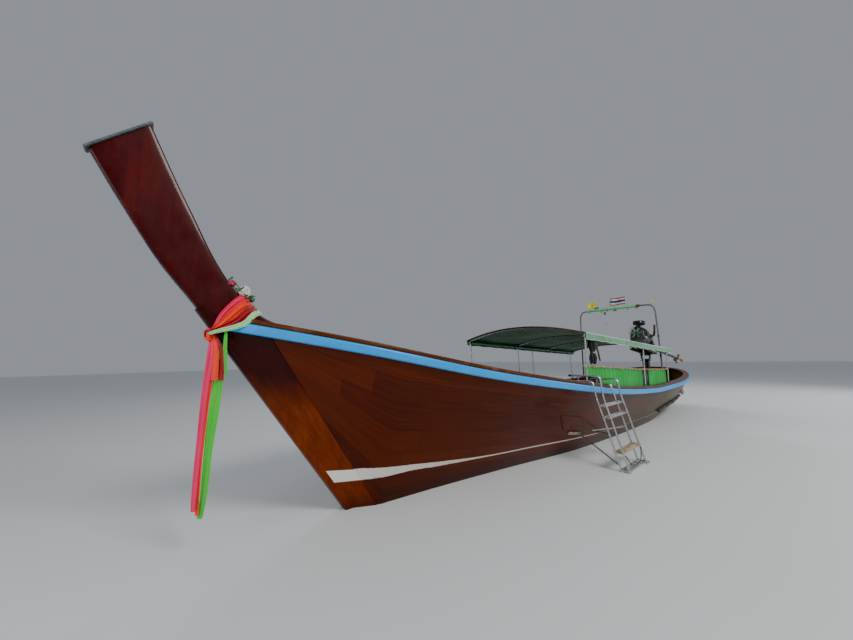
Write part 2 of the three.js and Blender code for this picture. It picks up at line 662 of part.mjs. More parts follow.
const beamTop = FRAME_Z + FRAME_PIPE;
const ROLL = { radius: 44, from: -650, to: 560 };
const rollX = FRAME_X + FRAME_PIPE * Math.cos(Math.PI / 6) + ROLL.radius * Math.cos(Math.PI / 14) + 2 * GAP;
const rollEnd = (y) => [rollX, y, FRAME_Z - 8];
add("rolled_awning", rod(rollEnd(ROLL.from), rollEnd(ROLL.to), ROLL.radius, 14), "greenSheet");
const FLAGS = [
  { name: "flag_yellow", y: FLAGS_AT[0], long: 210, high: 150, color: "yellow" },
  { name: "flag_striped", y: FLAGS_AT[1], long: 380, high: 190, color: "ribbon" },
];
for (const flag of FLAGS) {
  // Each flag streams to starboard from its staff
  const edge = flag.y - 6.5 - GAP;
  const low = beamTop + 60;
  const flagBox = box([FRAME_X - 2, FRAME_X + 2], [edge - flag.long, edge], [low, low + flag.high]);
  add(flag.name, flagBox, flag.color);
}

// Curtain tied up below the port side rail
const CURTAIN = { x: 200, low: 1300, radius: 43, wide: 1.9 };
const curtainTop = canopyEdge(CURTAIN.x) - PIPE + 3;
const drop = curtainTop - CURTAIN.low;
const curtainOutline = [[0, 0], [0.7, 0.02], [1, 0.3], [0.55, 0.55], [0.9, 0.8], [0.75, 0.97], [0, 1]];
const bundle = new THREE.LatheGeometry(
  curtainOutline.map(([r, t]) => new THREE.Vector2(r * CURTAIN.radius, t * drop)), 10);
bundle.rotateX(Math.PI / 2).scale(CURTAIN.wide, 1, 1).translate(CURTAIN.x, CANOPY_HALF - 11, CURTAIN.low);
add("tied_curtain", bundle, "canopyCloth");

// Boarding ladder
const stileY = (y, z) => y + LADDER_LEAN * (950 - z) / (950 - LADDER_FOOT_Z);
function stile(x, y, hookZ, reach) {
  return pipe([
    [x, y - reach, hookZ - 2], [x, y - reach + 60, hookZ], [x, y - 32, hookZ], [x, y - 2, hookZ - 36],
    [x, stileY(y, 930), 930], [x, stileY(y, 600), 600], [x, stileY(y, LADDER_FOOT_Z), LADDER_FOOT_Z],
  ], STILE_PIPE, 20, 6);
}
function tread(z, deep, thick, over) {
  const [near, far] = STILE_YS.map((y) => stileY(y, z));
  return box([STILE_XS[0] - over, STILE_XS[1] + over], [near - deep, far + deep], [z - thick, z]);
}
const ladderParts = [];
for (const x of STILE_XS) {
  const rest = capTop(x + STILE_PIPE) + STILE_FLAT - 2 * GAP;
  ladderParts.push(stile(x, STILE_YS[0], rest, 300), stile(x, STILE_YS[1], rest + 70, 420));
  ladderParts.push(rod([x, STILE_YS[0] - 200, rest], [x, STILE_YS[1] - 290, rest + 70], 8, 6));
}
for (const z of TREAD_ZS) ladderParts.push(tread(z, 4, 16, 4));
add("ladder", joined(...ladderParts), "steel");
add("ladder_wood_tread", tread(WOOD_TREAD_Z, -8, 34, -STILE_PIPE), "plainWood");

// Ribbons tied round the prow with a knot in front of the stem, their tails, and a garland above them
const prowSolid = sidePlate(prowOutline, 0, 2 * PROW_HALF + 2 * GAP);
const stemSolid = sidePlate(stemOutline, 0, 2 * HALF_STEM + 2 * GAP);
function collar(outline, thick) {
  // A band round the prow, hollowed by the prow itself with a little slack
  const slack = [-0.8, 0.8].flatMap((dx) => [-GAP, GAP].map((dz) => [dx, dz]));
  const cutters = slack.flatMap(([dx, dz]) => [
    prowSolid.clone().translate(dx, 0, dz), stemSolid.clone().translate(dx, 0, dz),
  ]);
  return without(sidePlate(outline, 0, thick), ...cutters);
}
const KNOT = { x: stemFace(1645) + 65, z: 1645, radius: 52 };
const knot = new THREE.SphereGeometry(KNOT.radius, 12, 8).translate(KNOT.x, 0, KNOT.z).toNonIndexed();
add("ribbon_wrap", joined(collar([
  [4606, 1655], [4700, 1655], [4790, 1790], [4700, 1850], [4540, 1915], [4400, 1915],
  [4372, 1840], [4606, 1828],
], 2 * HALF_STEM + 26), knot), "ribbon");
add("garland", collar([
  [4398, 1916], [4520, 1916], [4635, 2075], [4585, 2115], [4500, 2085], [4420, 2010],
], 2 * PROW_HALF + 60), "flower");
const TAILS = { x: KNOT.x - 7, top: KNOT.z - KNOT.radius - GAP, low: 270 };
add("ribbon_tails", joined(
  box([TAILS.x - 20, TAILS.x + 20], [-45, 45], [TAILS.low + 500, TAILS.top]),
  box([TAILS.x - 20, TAILS.x + 20], [-35, 20], [TAILS.low, TAILS.low + 510]),
), "ribbon");

// Pedestal on the aft deck, bored for the swivel's king pin
const deckTop = AFT_DECK_Z + DECK_THICK;
const headTop = PIVOT.z - 150;
const column = joined(
  box([PIVOT.x - 170, PIVOT.x + 210], [-170, 170], [deckTop + GAP, deckTop + 26]),
  box([PIVOT.x - 75, PIVOT.x + 75], [-75, 75], [deckTop + 20, headTop]),
  box([PIVOT.x - 110, PIVOT.x + 110], [-110, 110], [headTop - 24, headTop]),
  sidePlate([
    [PIVOT.x + 70, deckTop + 20], [PIVOT.x + 200, deckTop + 20], [PIVOT.x + 70, headTop - 130],
  ], 0, 60),
);
const bore = rod([PIVOT.x, 0, headTop - 130], [PIVOT.x, 0, headTop + 1], 27, 16);
add("engine_pedestal", without(column, bore), "plainWood");

// Swivel yoke: king pin, base plate and two cheeks with the tilting pin between them
const swivel = new THREE.Group();
swivel.position.set(PIVOT.x, 0, PIVOT.z);
boat.add(swivel);
const cheek = [[-55, -130], [55, -130], ...Array.from({ length: 9 }, (_, i) => {
  const angle = Math.PI * i / 8;
  return [40 * Math.cos(angle), 40 * Math.sin(angle)];
})];
add("swivel_yoke", joined(
  rod([0, 0, -270], [0, 0, -140], 24, 16),
  rod([0, 0, -150 + GAP], [0, 0, -122], 95, 20),
  sidePlate(cheek, -102, 20),
  sidePlate(cheek, 102, 20),
  rod([0, -104, 0], [0, 104, 0], PIN, 16),
), "steel", swivel);

// Everything that tilts, in a frame whose X axis runs along the crank line
const tilting = new THREE.Group();
tilting.rotation.y = -TAIL_SLOPE * Math.PI / 180;
swivel.add(tilting);

const bedSleeve = without(
  joined(rod([0, -84, 0], [0, 84, 0], 34, 16), box([-34, 34], [-84, 84], [10, 52])),
  rod([0, -90, 0], [0, 90, 0], PIN + 1, 16),
);
const bedRails = [-1, 1].map((side) => box([-430, 660], [side * 155 - 22, side * 155 + 22], [50, 104]));
const crossBars = [-420, -34, 330, 592].map((x) => box([x, x + 68], [-160, 160], [50, 96]));
add("engine_bed", joined(bedSleeve, ...bedRails, ...crossBars), "steel", tilting);

const ENGINE = { back: -60, front: 620, half: 185, low: 150, high: 600 };
const feet = [20, 430].flatMap((x) => [-1, 1].map((side) => box(
  [x, x + 80], [side * 155 - 20, side * 155 + 20], [104 + GAP, 230])));
add("engine_block", joined(
  box([ENGINE.back, ENGINE.front], [-ENGINE.half, ENGINE.half], [ENGINE.low, ENGINE.high]),
  box([ENGINE.back + 30, ENGINE.front - 40], [-110, 110], [ENGINE.high - 10, ENGINE.high + 150]),
  rod([ENGINE.front - 5, 0, CRANK_Z], [ENGINE.front + 60, 0, CRANK_Z], 90, 20),
  ...feet,
), "castIron", tilting);

add("gearbox", joined(
  rod([ENGINE.back - GAP, 0, CRANK_Z], [-150, 0, CRANK_Z], 145, 20, 130),
  rod([-140, 0, CRANK_Z], [-360, 0, CRANK_Z], 95, 16, 62),
  box([-330, -150], [-60, 60], [104 + GAP, CRANK_Z]),
), "castIron", tilting);

add("exhaust_pipe", pipe([
  [120, ENGINE.half + GAP, 500], [120, ENGINE.half + 40, 500], [80, ENGINE.half + 70, 530],
  [40, ENGINE.half + 80, 680], [20, ENGINE.half + 80, 840],
], 26, 12), "castIron", tilting);

const FILTER = { x: 300, y: -35, z: ENGINE.high + 150, radius: 150 };
add("air_filter", joined(
  rod([FILTER.x, FILTER.y, FILTER.z + GAP], [FILTER.x, FILTER.y, FILTER.z + 70], 40, 12),
  rod([FILTER.x, FILTER.y, FILTER.z + 60], [FILTER.x, FILTER.y, FILTER.z + 175], FILTER.radius, 20),
), "castIron", tilting);

add("fuel_tank", box([-425, -215], [-290, -135], [104 + GAP, 380]), "yellow", tilting);

// Tiller bar forward of the bed, with its grip
add("tiller", joined(
  rod([662, 0, 76], [TILLER_LENGTH, 0, 96], 21, 12, 18),
  rod([TILLER_LENGTH - 230, 0, 92], [TILLER_LENGTH, 0, 96], 30, 12),
  box([660 + GAP, 672], [-60, 60], [50, 104]),
), "castIron", tilting);

// Tail: a tube carrying the shaft, a brace under it and the skeg ahead of the propeller
const tailBore = rod([-400, 0, CRANK_Z], [-TAIL_END + 60, 0, CRANK_Z], 18, 12);
const skeg = [[590, -20], [250, -20], [190, -190], [290, -190]]
  .map(([ahead, z]) => [ahead - TAIL_END, CRANK_Z + z]);
add("tail_tube", without(joined(
  rod([-360 - GAP, 0, CRANK_Z], [-TAIL_END + 100, 0, CRANK_Z], 38, 12, 30),
  sidePlate(skeg, 0, 14),
), tailBore), "castIron", tilting);

// Propeller and the end of its shaft
const propeller = new THREE.Group();
propeller.position.set(-TAIL_END, 0, CRANK_Z);
tilting.add(propeller);
function blade(turn) {
  const shape = new THREE.Shape();
  shape.moveTo(-18, 20);
  shape.quadraticCurveTo(-52, 90, -18, 150);
  shape.quadraticCurveTo(12, 166, 34, 140);
  shape.quadraticCurveTo(44, 80, 18, 20);
  const flat = new THREE.ExtrudeGeometry(shape, { depth: 7, bevelEnabled: false, curveSegments: 4 });
  return flat.translate(0, 0, -3.5).rotateY(0.6).rotateX(turn * 2 * Math.PI / 3);
}
add("propeller", joined(
  rod([-45, 0, 0], [38, 0, 0], 30, 16),
  rod([30, 0, 0], [470, 0, 0], 17, 10),
  blade(0), blade(1), blade(2),
), "bronze", propeller);

export default boat;
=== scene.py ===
import bpy
import numpy as np
from mathutils import Matrix


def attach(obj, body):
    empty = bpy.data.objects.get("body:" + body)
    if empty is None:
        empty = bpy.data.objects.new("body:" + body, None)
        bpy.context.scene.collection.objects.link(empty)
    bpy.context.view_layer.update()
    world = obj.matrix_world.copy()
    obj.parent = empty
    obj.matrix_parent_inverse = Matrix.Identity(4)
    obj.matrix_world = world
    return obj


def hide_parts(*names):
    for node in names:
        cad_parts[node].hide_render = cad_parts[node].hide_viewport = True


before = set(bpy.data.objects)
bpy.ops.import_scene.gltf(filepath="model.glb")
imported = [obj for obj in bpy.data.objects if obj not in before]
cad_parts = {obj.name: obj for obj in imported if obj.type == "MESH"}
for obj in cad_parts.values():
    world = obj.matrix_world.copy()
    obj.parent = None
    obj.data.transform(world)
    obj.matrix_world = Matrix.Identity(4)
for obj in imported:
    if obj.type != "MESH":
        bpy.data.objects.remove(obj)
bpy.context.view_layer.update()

rng = np.random.default_rng(7)

# Hull lines, as the planking was drawn
BOW_X, STERN_X, WIDEST_X, HALF_BEAM = 4.6, -6.5, -0.4, 1.1
BOW_CLOSES, BOW_POWER, STERN_POWER = 0.09, 2.6, 9
PLANK, HALF_STEM, CHINE = 0.032, 0.045, 0.42
STEM_FOOT_X, STEM_RAKE, STEM_JOINT_X = 3.5, 0.69, 3.18
RAIL_HIGH, RAIL_DEEP = 0.084, 0.036
CAP_LOW, CAP_HIGH, CAP_IN, CAP_OUT = 0.04305, 0.042, 0.105, 0.014
CAP_TOP = CAP_LOW + CAP_HIGH
SHEER = [
    (-6.5, 0.95), (-5.7, 0.83), (-5.0, 0.78), (-4.3, 0.745), (-3.3, 0.73), (-2.3, 0.737),
    (-0.6, 0.847), (1.0, 1.038), (2.3, 1.238), (3.56, 1.505), (4.6, 1.72),
]
KEEL_LINE = [
    (-6.5, 0.08), (-6.0, -0.02), (-5.4, -0.05), (-4.8, -0.09), (-4.0, -0.19), (-3.0, -0.3),
    (-1.5, -0.34), (-1.0, -0.34), (1.0, -0.34), (1.5, -0.34), (3.18, -0.33),
]
FULLNESS = [
    (-6.5, 0.4), (-4.5, 0.36), (-2.5, 0.36), (0.0, 0.46), (1.5, 0.72), (3.0, 0.95), (4.6, 1.0),
]
STRAKES = 10

# White boot stripe on the topsides: its upper and lower edge, closing to nothing amidships
STRIPE_TOP = [
    (-0.6, 0.20), (-0.1, 0.223), (1.05, 0.257), (1.9, 0.272), (2.6, 0.32), (2.9, 0.35),
    (3.4, 0.389), (3.8, 0.41),
]
STRIPE_LOW = [
    (-0.6, 0.198), (-0.1, 0.209), (1.05, 0.24), (1.9, 0.255), (2.6, 0.273), (2.9, 0.29),
    (3.4, 0.28), (3.8, 0.28),
]
# Seam between the planks' ends and the broad board behind the stem
SEAM_X, SEAM_Z, SEAM_SLOPE = 3.543, 0.476, 1.567

# Canopy
CANOPY_HALF, CANOPY_ENDS = 1.06, (-3.71, 0.5)
HOOP_XS = [-3.66, -2.4, -1.1, 0.44]
POST_XS = {"port": [-3.45, -1.95, 0.44], "starboard": [-3.45, -1.64, -1.08, 0.44]}
CANOPY_EDGE = [(-3.7, 1.475), (-2.9, 1.515), (-2.0, 1.56), (-0.85, 1.62), (0.48, 1.687)]
HOOP_RISE, HOOP_LIFT, PIPE, HOOP_PIPE = 0.15, 0.036, 0.015, 0.012
VALANCE_Y, VALANCE_LONG = 1.0975, 0.088
POST_Y, SHEET_Y = 1.04, 1.008
SHEET_TOP = [
    (-3.45, 1.09), (-2.85, 1.11), (-1.9, 1.145), (-1.1, 1.19), (-0.3, 1.24), (0.41, 1.278),
]

# Stern frame, ladder and engine
FRAME_X, FRAME_FOOT_Y, FRAME_Z, FRAME_PIPE = -3.76, 0.88, 2.56, 0.017
STAFF_YS = (-0.43, 0.26)
THWART_Z, THWART_HIGH, THWART_WIDE = 0.52, 0.03, 0.29
THWART_XS = [1.95, 0.55, -0.85, -2.25, -3.7]
STILE_XS, STILE_YS, STILE_PIPE = (-0.03, 0.55), (1.172, 1.262), 0.012
LADDER_FOOT_Z, LADDER_BEND_Z, LADDER_DROP, LADDER_LEAN = -0.16, 0.95, 1.11, 0.3
WOOD_TREAD_Z = 0.24
TREAD_ZS = [0.77, 0.63, 0.02, -0.13]
PIVOT_X, PIVOT_Z, TAIL_SLOPE, CRANK_Z = -5.8, 1.4, np.radians(7), 0.25
TAIL_END = 3.5
KNOT_AT = np.array([4.678, 0.034, 1.645])


# Lines and frames
def line_through(table, x):
    """Smooth height at x: on each stretch between two given points a cubic whose slope at either
    end is that of the straight line through the two neighbours."""
    xs, zs = np.array(table, float).T
    slope = np.empty(len(xs))
    slope[1:-1] = (zs[2:] - zs[:-2]) / (xs[2:] - xs[:-2])
    slope[0] = (zs[1] - zs[0]) / (xs[1] - xs[0])
    slope[-1] = (zs[-1] - zs[-2]) / (xs[-1] - xs[-2])
    x = np.asarray(x, float)
    i = np.clip(np.searchsorted(xs, x) - 1, 0, len(xs) - 2)
    h = xs[i + 1] - xs[i]
    t = np.clip((x - xs[i]) / h, 0, 1)
    rise = (2 * t**3 - 3 * t**2 + 1) * zs[i] + (3 * t**2 - 2 * t**3) * zs[i + 1]
    return rise + (t**3 - 2 * t**2 + t) * h * slope[i] + (t**3 - t**2) * h * slope[i + 1]


def half_beam(x):
    """Half-breadth at the sheer: forward 1 − u^2.6 of the beam, aft the root of 1 − u^9."""
    fore = 1 - np.clip((x - WIDEST_X) / (BOW_X + BOW_CLOSES - WIDEST_X), 0, 1) ** BOW_POWER
    aft = np.sqrt(1 - np.clip((WIDEST_X - x) / (WIDEST_X - STERN_X), 0, 1) ** STERN_POWER)
    return HALF_BEAM * np.where(x > WIDEST_X, fore, aft)


def sheer(x):
    return line_through(SHEER, x)


def stem_face(z):
    return STEM_FOOT_X + STEM_RAKE * z


def plank_foot(x):
    """The planks' lower edge: along the keel, then up the raked stem."""
    along_stem = (x - STEM_FOOT_X) / STEM_RAKE + 0.09
    return np.maximum(line_through(KEEL_LINE, np.minimum(x, STEM_JOINT_X)), along_stem)


def hull_side(x, half, share):
    """Outer face at a share of the height: breadth = stem + (half − stem)·share^fullness(x)."""
    foot, top = plank_foot(x), sheer(x) + RAIL_HIGH / 2
    near = HALF_STEM + 0.001
    y = near + np.maximum(half - near, 0) * share ** line_through(FULLNESS, x)
    return np.stack(np.broadcast_arrays(x, y, foot + (top - foot) * share), -1)


def hull_half(x, z):
    """Half-breadth of the outer face at a height."""
    x, z = np.broadcast_arrays(np.asarray(x, float), np.asarray(z, float))
    foot, top = plank_foot(x), sheer(x) + RAIL_HIGH / 2
    return hull_side(x, half_beam(x), np.clip((z - foot) / (top - foot), 0, 1))[..., 1]


def plan_curve(count, start=BOW_X, reach=HALF_STEM + 0.0015):
    """Even steps along the sheer seen from above, from the stem round to half-breadth `reach` at the
    stern, with outward normals: the aft part is x = −(sin a)^(2/9), y = cos a."""
    fore = np.linspace(start, WIDEST_X, 600)
    angle = np.linspace(0, np.arccos(reach / HALF_BEAM), 600)[1:]
    x = np.r_[fore, WIDEST_X - (WIDEST_X - STERN_X) * np.sin(angle) ** (2 / STERN_POWER)]
    y = np.r_[half_beam(fore), HALF_BEAM * np.cos(angle)]
    run = np.r_[0, np.cumsum(np.hypot(np.diff(x), np.diff(y)))]
    even = np.linspace(0, run[-1], count)
    x, y = np.interp(even, run, x), np.interp(even, run, y)
    dx, dy = np.gradient(x), np.gradient(y)
    length = np.hypot(dx, dy)
    return x, y, dy / length, -dx / length, even


def spline(points, count):
    """A smooth path through a few points (each coordinate a cubic against the chord length),
    then cut into even steps."""
    points = np.asarray(points, float)
    run = np.r_[0, np.cumsum(np.linalg.norm(np.diff(points, axis=0), axis=1))]
    fine = np.linspace(0, run[-1], 40 * len(points))
    curve = np.stack([line_through(np.c_[run, c], fine) for c in points.T], -1)
    step = np.r_[0, np.cumsum(np.linalg.norm(np.diff(curve, axis=0), axis=1))]
    even = np.linspace(0, step[-1], count)
    return np.stack([np.interp(even, step, c) for c in curve.T], -1)


def unit(v):
    return v / np.maximum(np.linalg.norm(v, axis=-1, keepdims=True), 1e-12)


def tilted(points):
    """From the tilting pin's own frame, whose X runs along the crank line, to the boat's frame:
    turned by the tail's slope about +Y, then moved to the pin."""
    x, y, z = np.moveaxis(np.asarray(points, float), -1, 0)
    c, s = np.cos(TAIL_SLOPE), np.sin(TAIL_SLOPE)
    return np.stack([PIVOT_X + c * x - s * z, y, PIVOT_Z + s * x + c * z], -1)


# Surfaces
def shell(points, ends="fan", along=None, across=None, layers=None):
    """Quads between the neighbours in a grid of points, whose last column joins the first. ends fans
    each end row to its middle, zips it across a folded row, or loops the last row to the first.
    The map is metres run along the rows and across the columns, unless given."""
    points = np.asarray(points, float)
    rows, cols = points.shape[:2]
    tall = rows if ends == "loop" else rows - 1
    if along is None:
        step = np.linalg.norm(np.roll(points, -1, 0) - points, axis=2).mean(1)
        along = np.r_[0, np.cumsum(step[:tall])]
    if across is None:
        step = np.linalg.norm(np.roll(points, -1, 1) - points, axis=2).mean(0)
        across = np.r_[0, np.cumsum(step)]
    i, j = (a.ravel() for a in np.meshgrid(np.arange(tall), np.arange(cols), indexing="ij"))
    i2, j2 = (i + 1) % rows, (j + 1) % cols
    quads = np.stack([i * cols + j, i2 * cols + j, i2 * cols + j2, i * cols + j2], 1)
    u = np.stack([along[i], along[i + 1], along[i + 1], along[i]], 1)
    v = np.stack([across[j], across[j], across[j + 1], across[j + 1]], 1)
    verts, quad_map = points.reshape(-1, 3), np.stack([u, v], 2)
    tris, tri_map = np.zeros((0, 3), int), np.zeros((0, 3, 2))
    if ends == "fan":
        k = np.arange(cols)
        middles = np.stack([points[0].mean(0), points[-1].mean(0)])
        for row, centre, flip in ((0, rows * cols, -1), (rows - 1, rows * cols + 1, 1)):
            corner = np.stack([row * cols + (k + 1) % cols, row * cols + k, np.full(cols, centre)], 1)
            flat = np.stack([np.full(cols, along[row]), across[k]], 1)
            tris = np.r_[tris, corner[:, ::flip]]
            tri_map = np.r_[tri_map, np.repeat(flat[:, None], 3, 1)]
        verts = np.r_[verts, middles]
    if ends == "zip":
        k = np.arange(cols // 2 - 1)
        for row, flip in ((0, 1), ((rows - 1) * cols, -1)):
            corner = row + np.stack([k, k + 1, cols - 2 - k, cols - 1 - k], 1)
            quads = np.r_[quads, corner[:, ::flip]]
            flat = np.stack([np.full(len(k), along[0 if row == 0 else -1]), across[k]], 1)
            quad_map = np.r_[quad_map, np.repeat(flat[:, None], 4, 1)]
    extra = {}
    for name, value in (layers or {}).items():
        value = np.asarray(value, float).reshape(-1, 2)
        value = np.r_[value, np.zeros((len(verts) - len(value), 2))]
        extra[name] = value
    made = {"verts": verts, "quads": quads, "tris": tris, "quad_map": quad_map, "tri_map": tri_map,
            "layers": extra}
    return facing_out(made)


def facing_out(made):
    """Turns every face round where the body's signed volume is below nought."""
    v, q = made["verts"], made["quads"]
    faces = np.r_[q[:, [0, 1, 2]], q[:, [0, 2, 3]], made["tris"]]
    a, b, c = v[faces[:, 0]], v[faces[:, 1]], v[faces[:, 2]]
    if np.einsum("ij,ij->i", a, np.cross(b, c)).sum() < 0:
        for key in ("quads", "tris", "quad_map", "tri_map"):
            made[key] = made[key][:, ::-1]
    return made


def moved(made, change):
    """The same body with its points changed by a function of the whole array, faces kept outward."""
    return facing_out(dict(made, verts=change(made["verts"])))


def mirrored(made):
    return moved(made, lambda v: v * (1, -1, 1))


def together(*shells):
    """Several bodies in one: points one after another, each face's numbers moved on with them."""
    flat = [s for part in shells for s in (part if isinstance(part, list) else [part])]
    starts = np.cumsum([0] + [len(s["verts"]) for s in flat])
    names = {name for s in flat for name in s["layers"]}
    return {
        "verts": np.concatenate([s["verts"] for s in flat]),
        "quads": np.concatenate([s["quads"] + o for s, o in zip(flat, starts)]),
        "tris": np.concatenate([s["tris"] + o for s, o in zip(flat, starts)]),
        "quad_map": np.concatenate([s["quad_map"] for s in flat]),
        "tri_map": np.concatenate([s["tri_map"] for s in flat]),
        "layers": {n: np.concatenate([s["layers"].get(n, np.zeros((len(s["verts"]), 2))) for s in flat])
                   for n in names},
    }


def scattered(made, places, turns=None, sizes=1.0):
    """One small body repeated: point = place + turn·(size·point), for all copies at once."""
    places = np.asarray(places, float)
    count, n = len(places), len(made["verts"])
    sizes = np.broadcast_to(np.asarray(sizes, float), (count,))
    turns = np.broadcast_to(np.eye(3), (count, 3, 3)) if turns is None else turns
    verts = np.einsum("kij,nj->kni", turns, made["verts"]) * sizes[:, None, None] + places[:, None]
    shift = (np.arange(count) * n)[:, None, None]
    return {
        "verts": verts.reshape(-1, 3),
        "quads": (made["quads"][None] + shift).reshape(-1, 4),
        "tris": (made["tris"][None] + shift).reshape(-1, 3),
        "quad_map": np.tile(made["quad_map"], (count, 1, 1)),
        "tri_map": np.tile(made["tri_map"], (count, 1, 1)),
        "layers": {name: np.tile(v, (count, 1)) for name, v in made["layers"].items()},
    }


def turned_to(axes, spin=0.0):
    """Turns that carry +Z to each of the given axes, after a spin about it."""
    z = unit(np.atleast_2d(np.asarray(axes, float)))
    helper = np.where(np.abs(z[:, 2:]) > 0.9, [[1.0, 0, 0]], [[0, 0, 1.0]])
    x = unit(np.cross(helper, z))
    y = np.cross(z, x)
    spin = np.broadcast_to(np.asarray(spin, float), (len(z),))[:, None]
    return np.stack([x * np.cos(spin) + y * np.sin(spin), y * np.cos(spin) - x * np.sin(spin), z], 2)


def spins(angles):
    """Turns about +Z by each of the angles."""
    turns = np.zeros((len(angles), 3, 3))
    turns[:, 0, 0] = turns[:, 1, 1] = np.cos(angles)
    turns[:, 1, 0], turns[:, 0, 1] = np.sin(angles), -np.sin(angles)
    turns[:, 2, 2] = 1
    return turns


def carried(path, outline, lean=None, grow=1.0, ends="fan", **more):
    """An outline of (a, b) carried along a path: point = path + grow·(a·side + b·up). up is the part
    of the lean direction at right angles to the path, and side = path's direction × up. Without a
    given lean it is the direction that the path follows least."""
    path = np.asarray(path, float)
    ahead = unit(np.gradient(path, axis=0))
    if ends == "loop":
        ahead = unit(np.roll(path, -1, 0) - np.roll(path, 1, 0))
    if lean is None:
        lean = np.linalg.eigh(ahead.T @ ahead)[1][:, 0]
    lean = np.broadcast_to(np.asarray(lean, float), path.shape)
    up = unit(lean - (lean * ahead).sum(1)[:, None] * ahead)
    side = np.cross(ahead, up)
    outline = np.broadcast_to(outline, (len(path),) + np.shape(outline)[-2:])
    grow = np.broadcast_to(np.asarray(grow, float), (len(path),))[:, None, None]
    offset = side[:, None] * outline[..., :1] + up[:, None] * outline[..., 1:]
    return shell(path[:, None] + grow * offset, ends=ends, **more)


def circle(radius, sides):
    a = np.arange(sides) * 2 * np.pi / sides
    return radius * np.stack([np.cos(a), np.sin(a)], 1)


def rounded(width, height, soft, steps=3):
    """A rectangle with its corners as quarter circles of radius soft."""
    a = np.linspace(0, np.pi / 2, steps)
    corners = []
    for k, (sx, sy) in enumerate(((1, 1), (-1, 1), (-1, -1), (1, -1))):
        t = a + k * np.pi / 2
        corners.append(np.stack([sx * (width / 2 - soft) + soft * np.cos(t),
                                 sy * (height / 2 - soft) + soft * np.sin(t)], 1))
    return np.concatenate(corners)


def tube(path, radius, sides, **more):
    """A round bar along a path; radius may be one number or one for each step."""
    return carried(path, circle(1.0, sides), grow=radius, **more)


def rod(a, b, radius, sides, soft=0.0):
    """A straight round bar whose rims are drawn in by soft over the same length."""
    a, b = np.asarray(a, float), np.asarray(b, float)
    length = np.linalg.norm(b - a)
    soft = min(soft, length / 3)
    t = np.array([0, soft / length, 1 - soft / length, 1]) if soft else np.array([0.0, 1.0])
    radii = np.array([radius - soft, radius, radius, radius - soft]) if soft else radius
    return tube(a + (b - a) * t[:, None], radii, sides)


def turned(start, axis, profile, sides=24):
    """A turned piece: each (distance, radius) of the profile is a ring about the axis."""
    profile = np.asarray(profile, float)
    path = np.asarray(start, float) + unit(np.asarray(axis, float)) * profile[:, :1]
    a = np.arange(sides) * 2 * np.pi / sides
    frame_of = turned_to([axis])[0]
    spoke = np.cos(a)[:, None] * frame_of[:, 0] + np.sin(a)[:, None] * frame_of[:, 1]
    return shell(path[:, None] + spoke * np.maximum(profile[:, 1], 1e-4)[:, None, None])


def block(x, y, z, soft):
    """A box with every edge rounded: its rounded outline is drawn in at both ends by a quarter
    circle, soft·(1 − sin a) along and soft·(1 − cos a) across."""
    (x0, x1), (y0, y1), (z0, z1) = x, y, z
    a = np.linspace(0, np.pi / 2, 3)
    inset = soft * (1 - np.sin(a))
    place = np.r_[x0 + soft * (1 - np.cos(a)), x1 - soft * (1 - np.cos(a))[::-1]]
    draw = np.r_[inset, inset[::-1]]
    wide, high = y1 - y0, z1 - z0
    rings = np.stack([rounded(wide - 2 * d, high - 2 * d, max(soft - d * 0.8, soft * 0.2)) for d in draw])
    middle = ((y0 + y1) / 2, (z0 + z1) / 2)
    full = np.concatenate([np.broadcast_to(place[:, None, None], rings.shape[:2] + (1,)),
                           rings + middle], 2)
    return shell(full)


def plate(outline, steps, about=None):
    """A plate across Y with an outline in x and z: at each (y, scale) of steps the outline is drawn
    in towards one point, its own middle unless another is given."""
    outline = np.asarray(outline, float)
    about = outline.mean(0) if about is None else np.asarray(about, float)
    rings = [np.insert(about + (outline - about) * scale, 1, y, axis=1) for y, scale in steps]
    return shell(np.stack(rings))


def cloth(points, thick, around=False):
    """A sheet's two faces, half the thickness to each side of a grid along its normal, with the rims
    joined: normal = the cross product of the grid's two directions."""
    points = np.asarray(points, float)
    du = np.gradient(points, axis=0)
    dv = np.roll(points, -1, 1) - np.roll(points, 1, 1) if around else np.gradient(points, axis=1)
    normal = unit(np.cross(du, dv)) * thick / 2
    if around:
        return shell(np.concatenate([points + normal, (points - normal)[::-1]]), ends="loop")
    step = np.linalg.norm(np.diff(points, axis=1), axis=2).mean(0)
    out = np.r_[0, np.cumsum(step)]
    back = (points - normal)[:, ::-1]
    return shell(np.concatenate([points + normal, back], 1), ends="zip", across=np.r_[out, out[::-1], 0])


def slab(outer, inner, **more):
    """A board between two grids: each row runs out over the outer face and back over the inner."""
    return shell(np.concatenate([outer, inner[:, ::-1]], 1), ends="zip", **more)


def rope(path, radius, lay):
    """A laid rope of three strands: radius·(1 + 0.16·cos 3(angle − 2π·run/lay)) round the path."""
    path = np.asarray(path, float)
    run = np.r_[0, np.cumsum(np.linalg.norm(np.diff(path, axis=0), axis=1))]
    a = np.arange(12) * np.pi / 6
    swell = 1 + 0.16 * np.cos(3 * (a[None] - 2 * np.pi * run[:, None] / lay))
    outline = radius * swell[..., None] * circle(1.0, len(a))[None]
    return carried(path, outline)


def lashing(centre, axis, radius, turns, pitch, thick, wide=1.0, high=1.0):
    """Cord wound round a bar: a helix of the given radii about the axis."""
    a = np.linspace(0, 2 * np.pi * turns, int(14 * turns))
    x, y, z = turned_to([axis])[0].T
    coil = np.cos(a)[:, None] * x * radius * wide + np.sin(a)[:, None] * y * radius * high
    path = np.asarray(centre, float) + coil + ((a / (2 * np.pi) - turns / 2) * pitch)[:, None] * z
    return carried(path, circle(thick, 6), lean=z)


SHARP_ANGLE = np.radians(35)


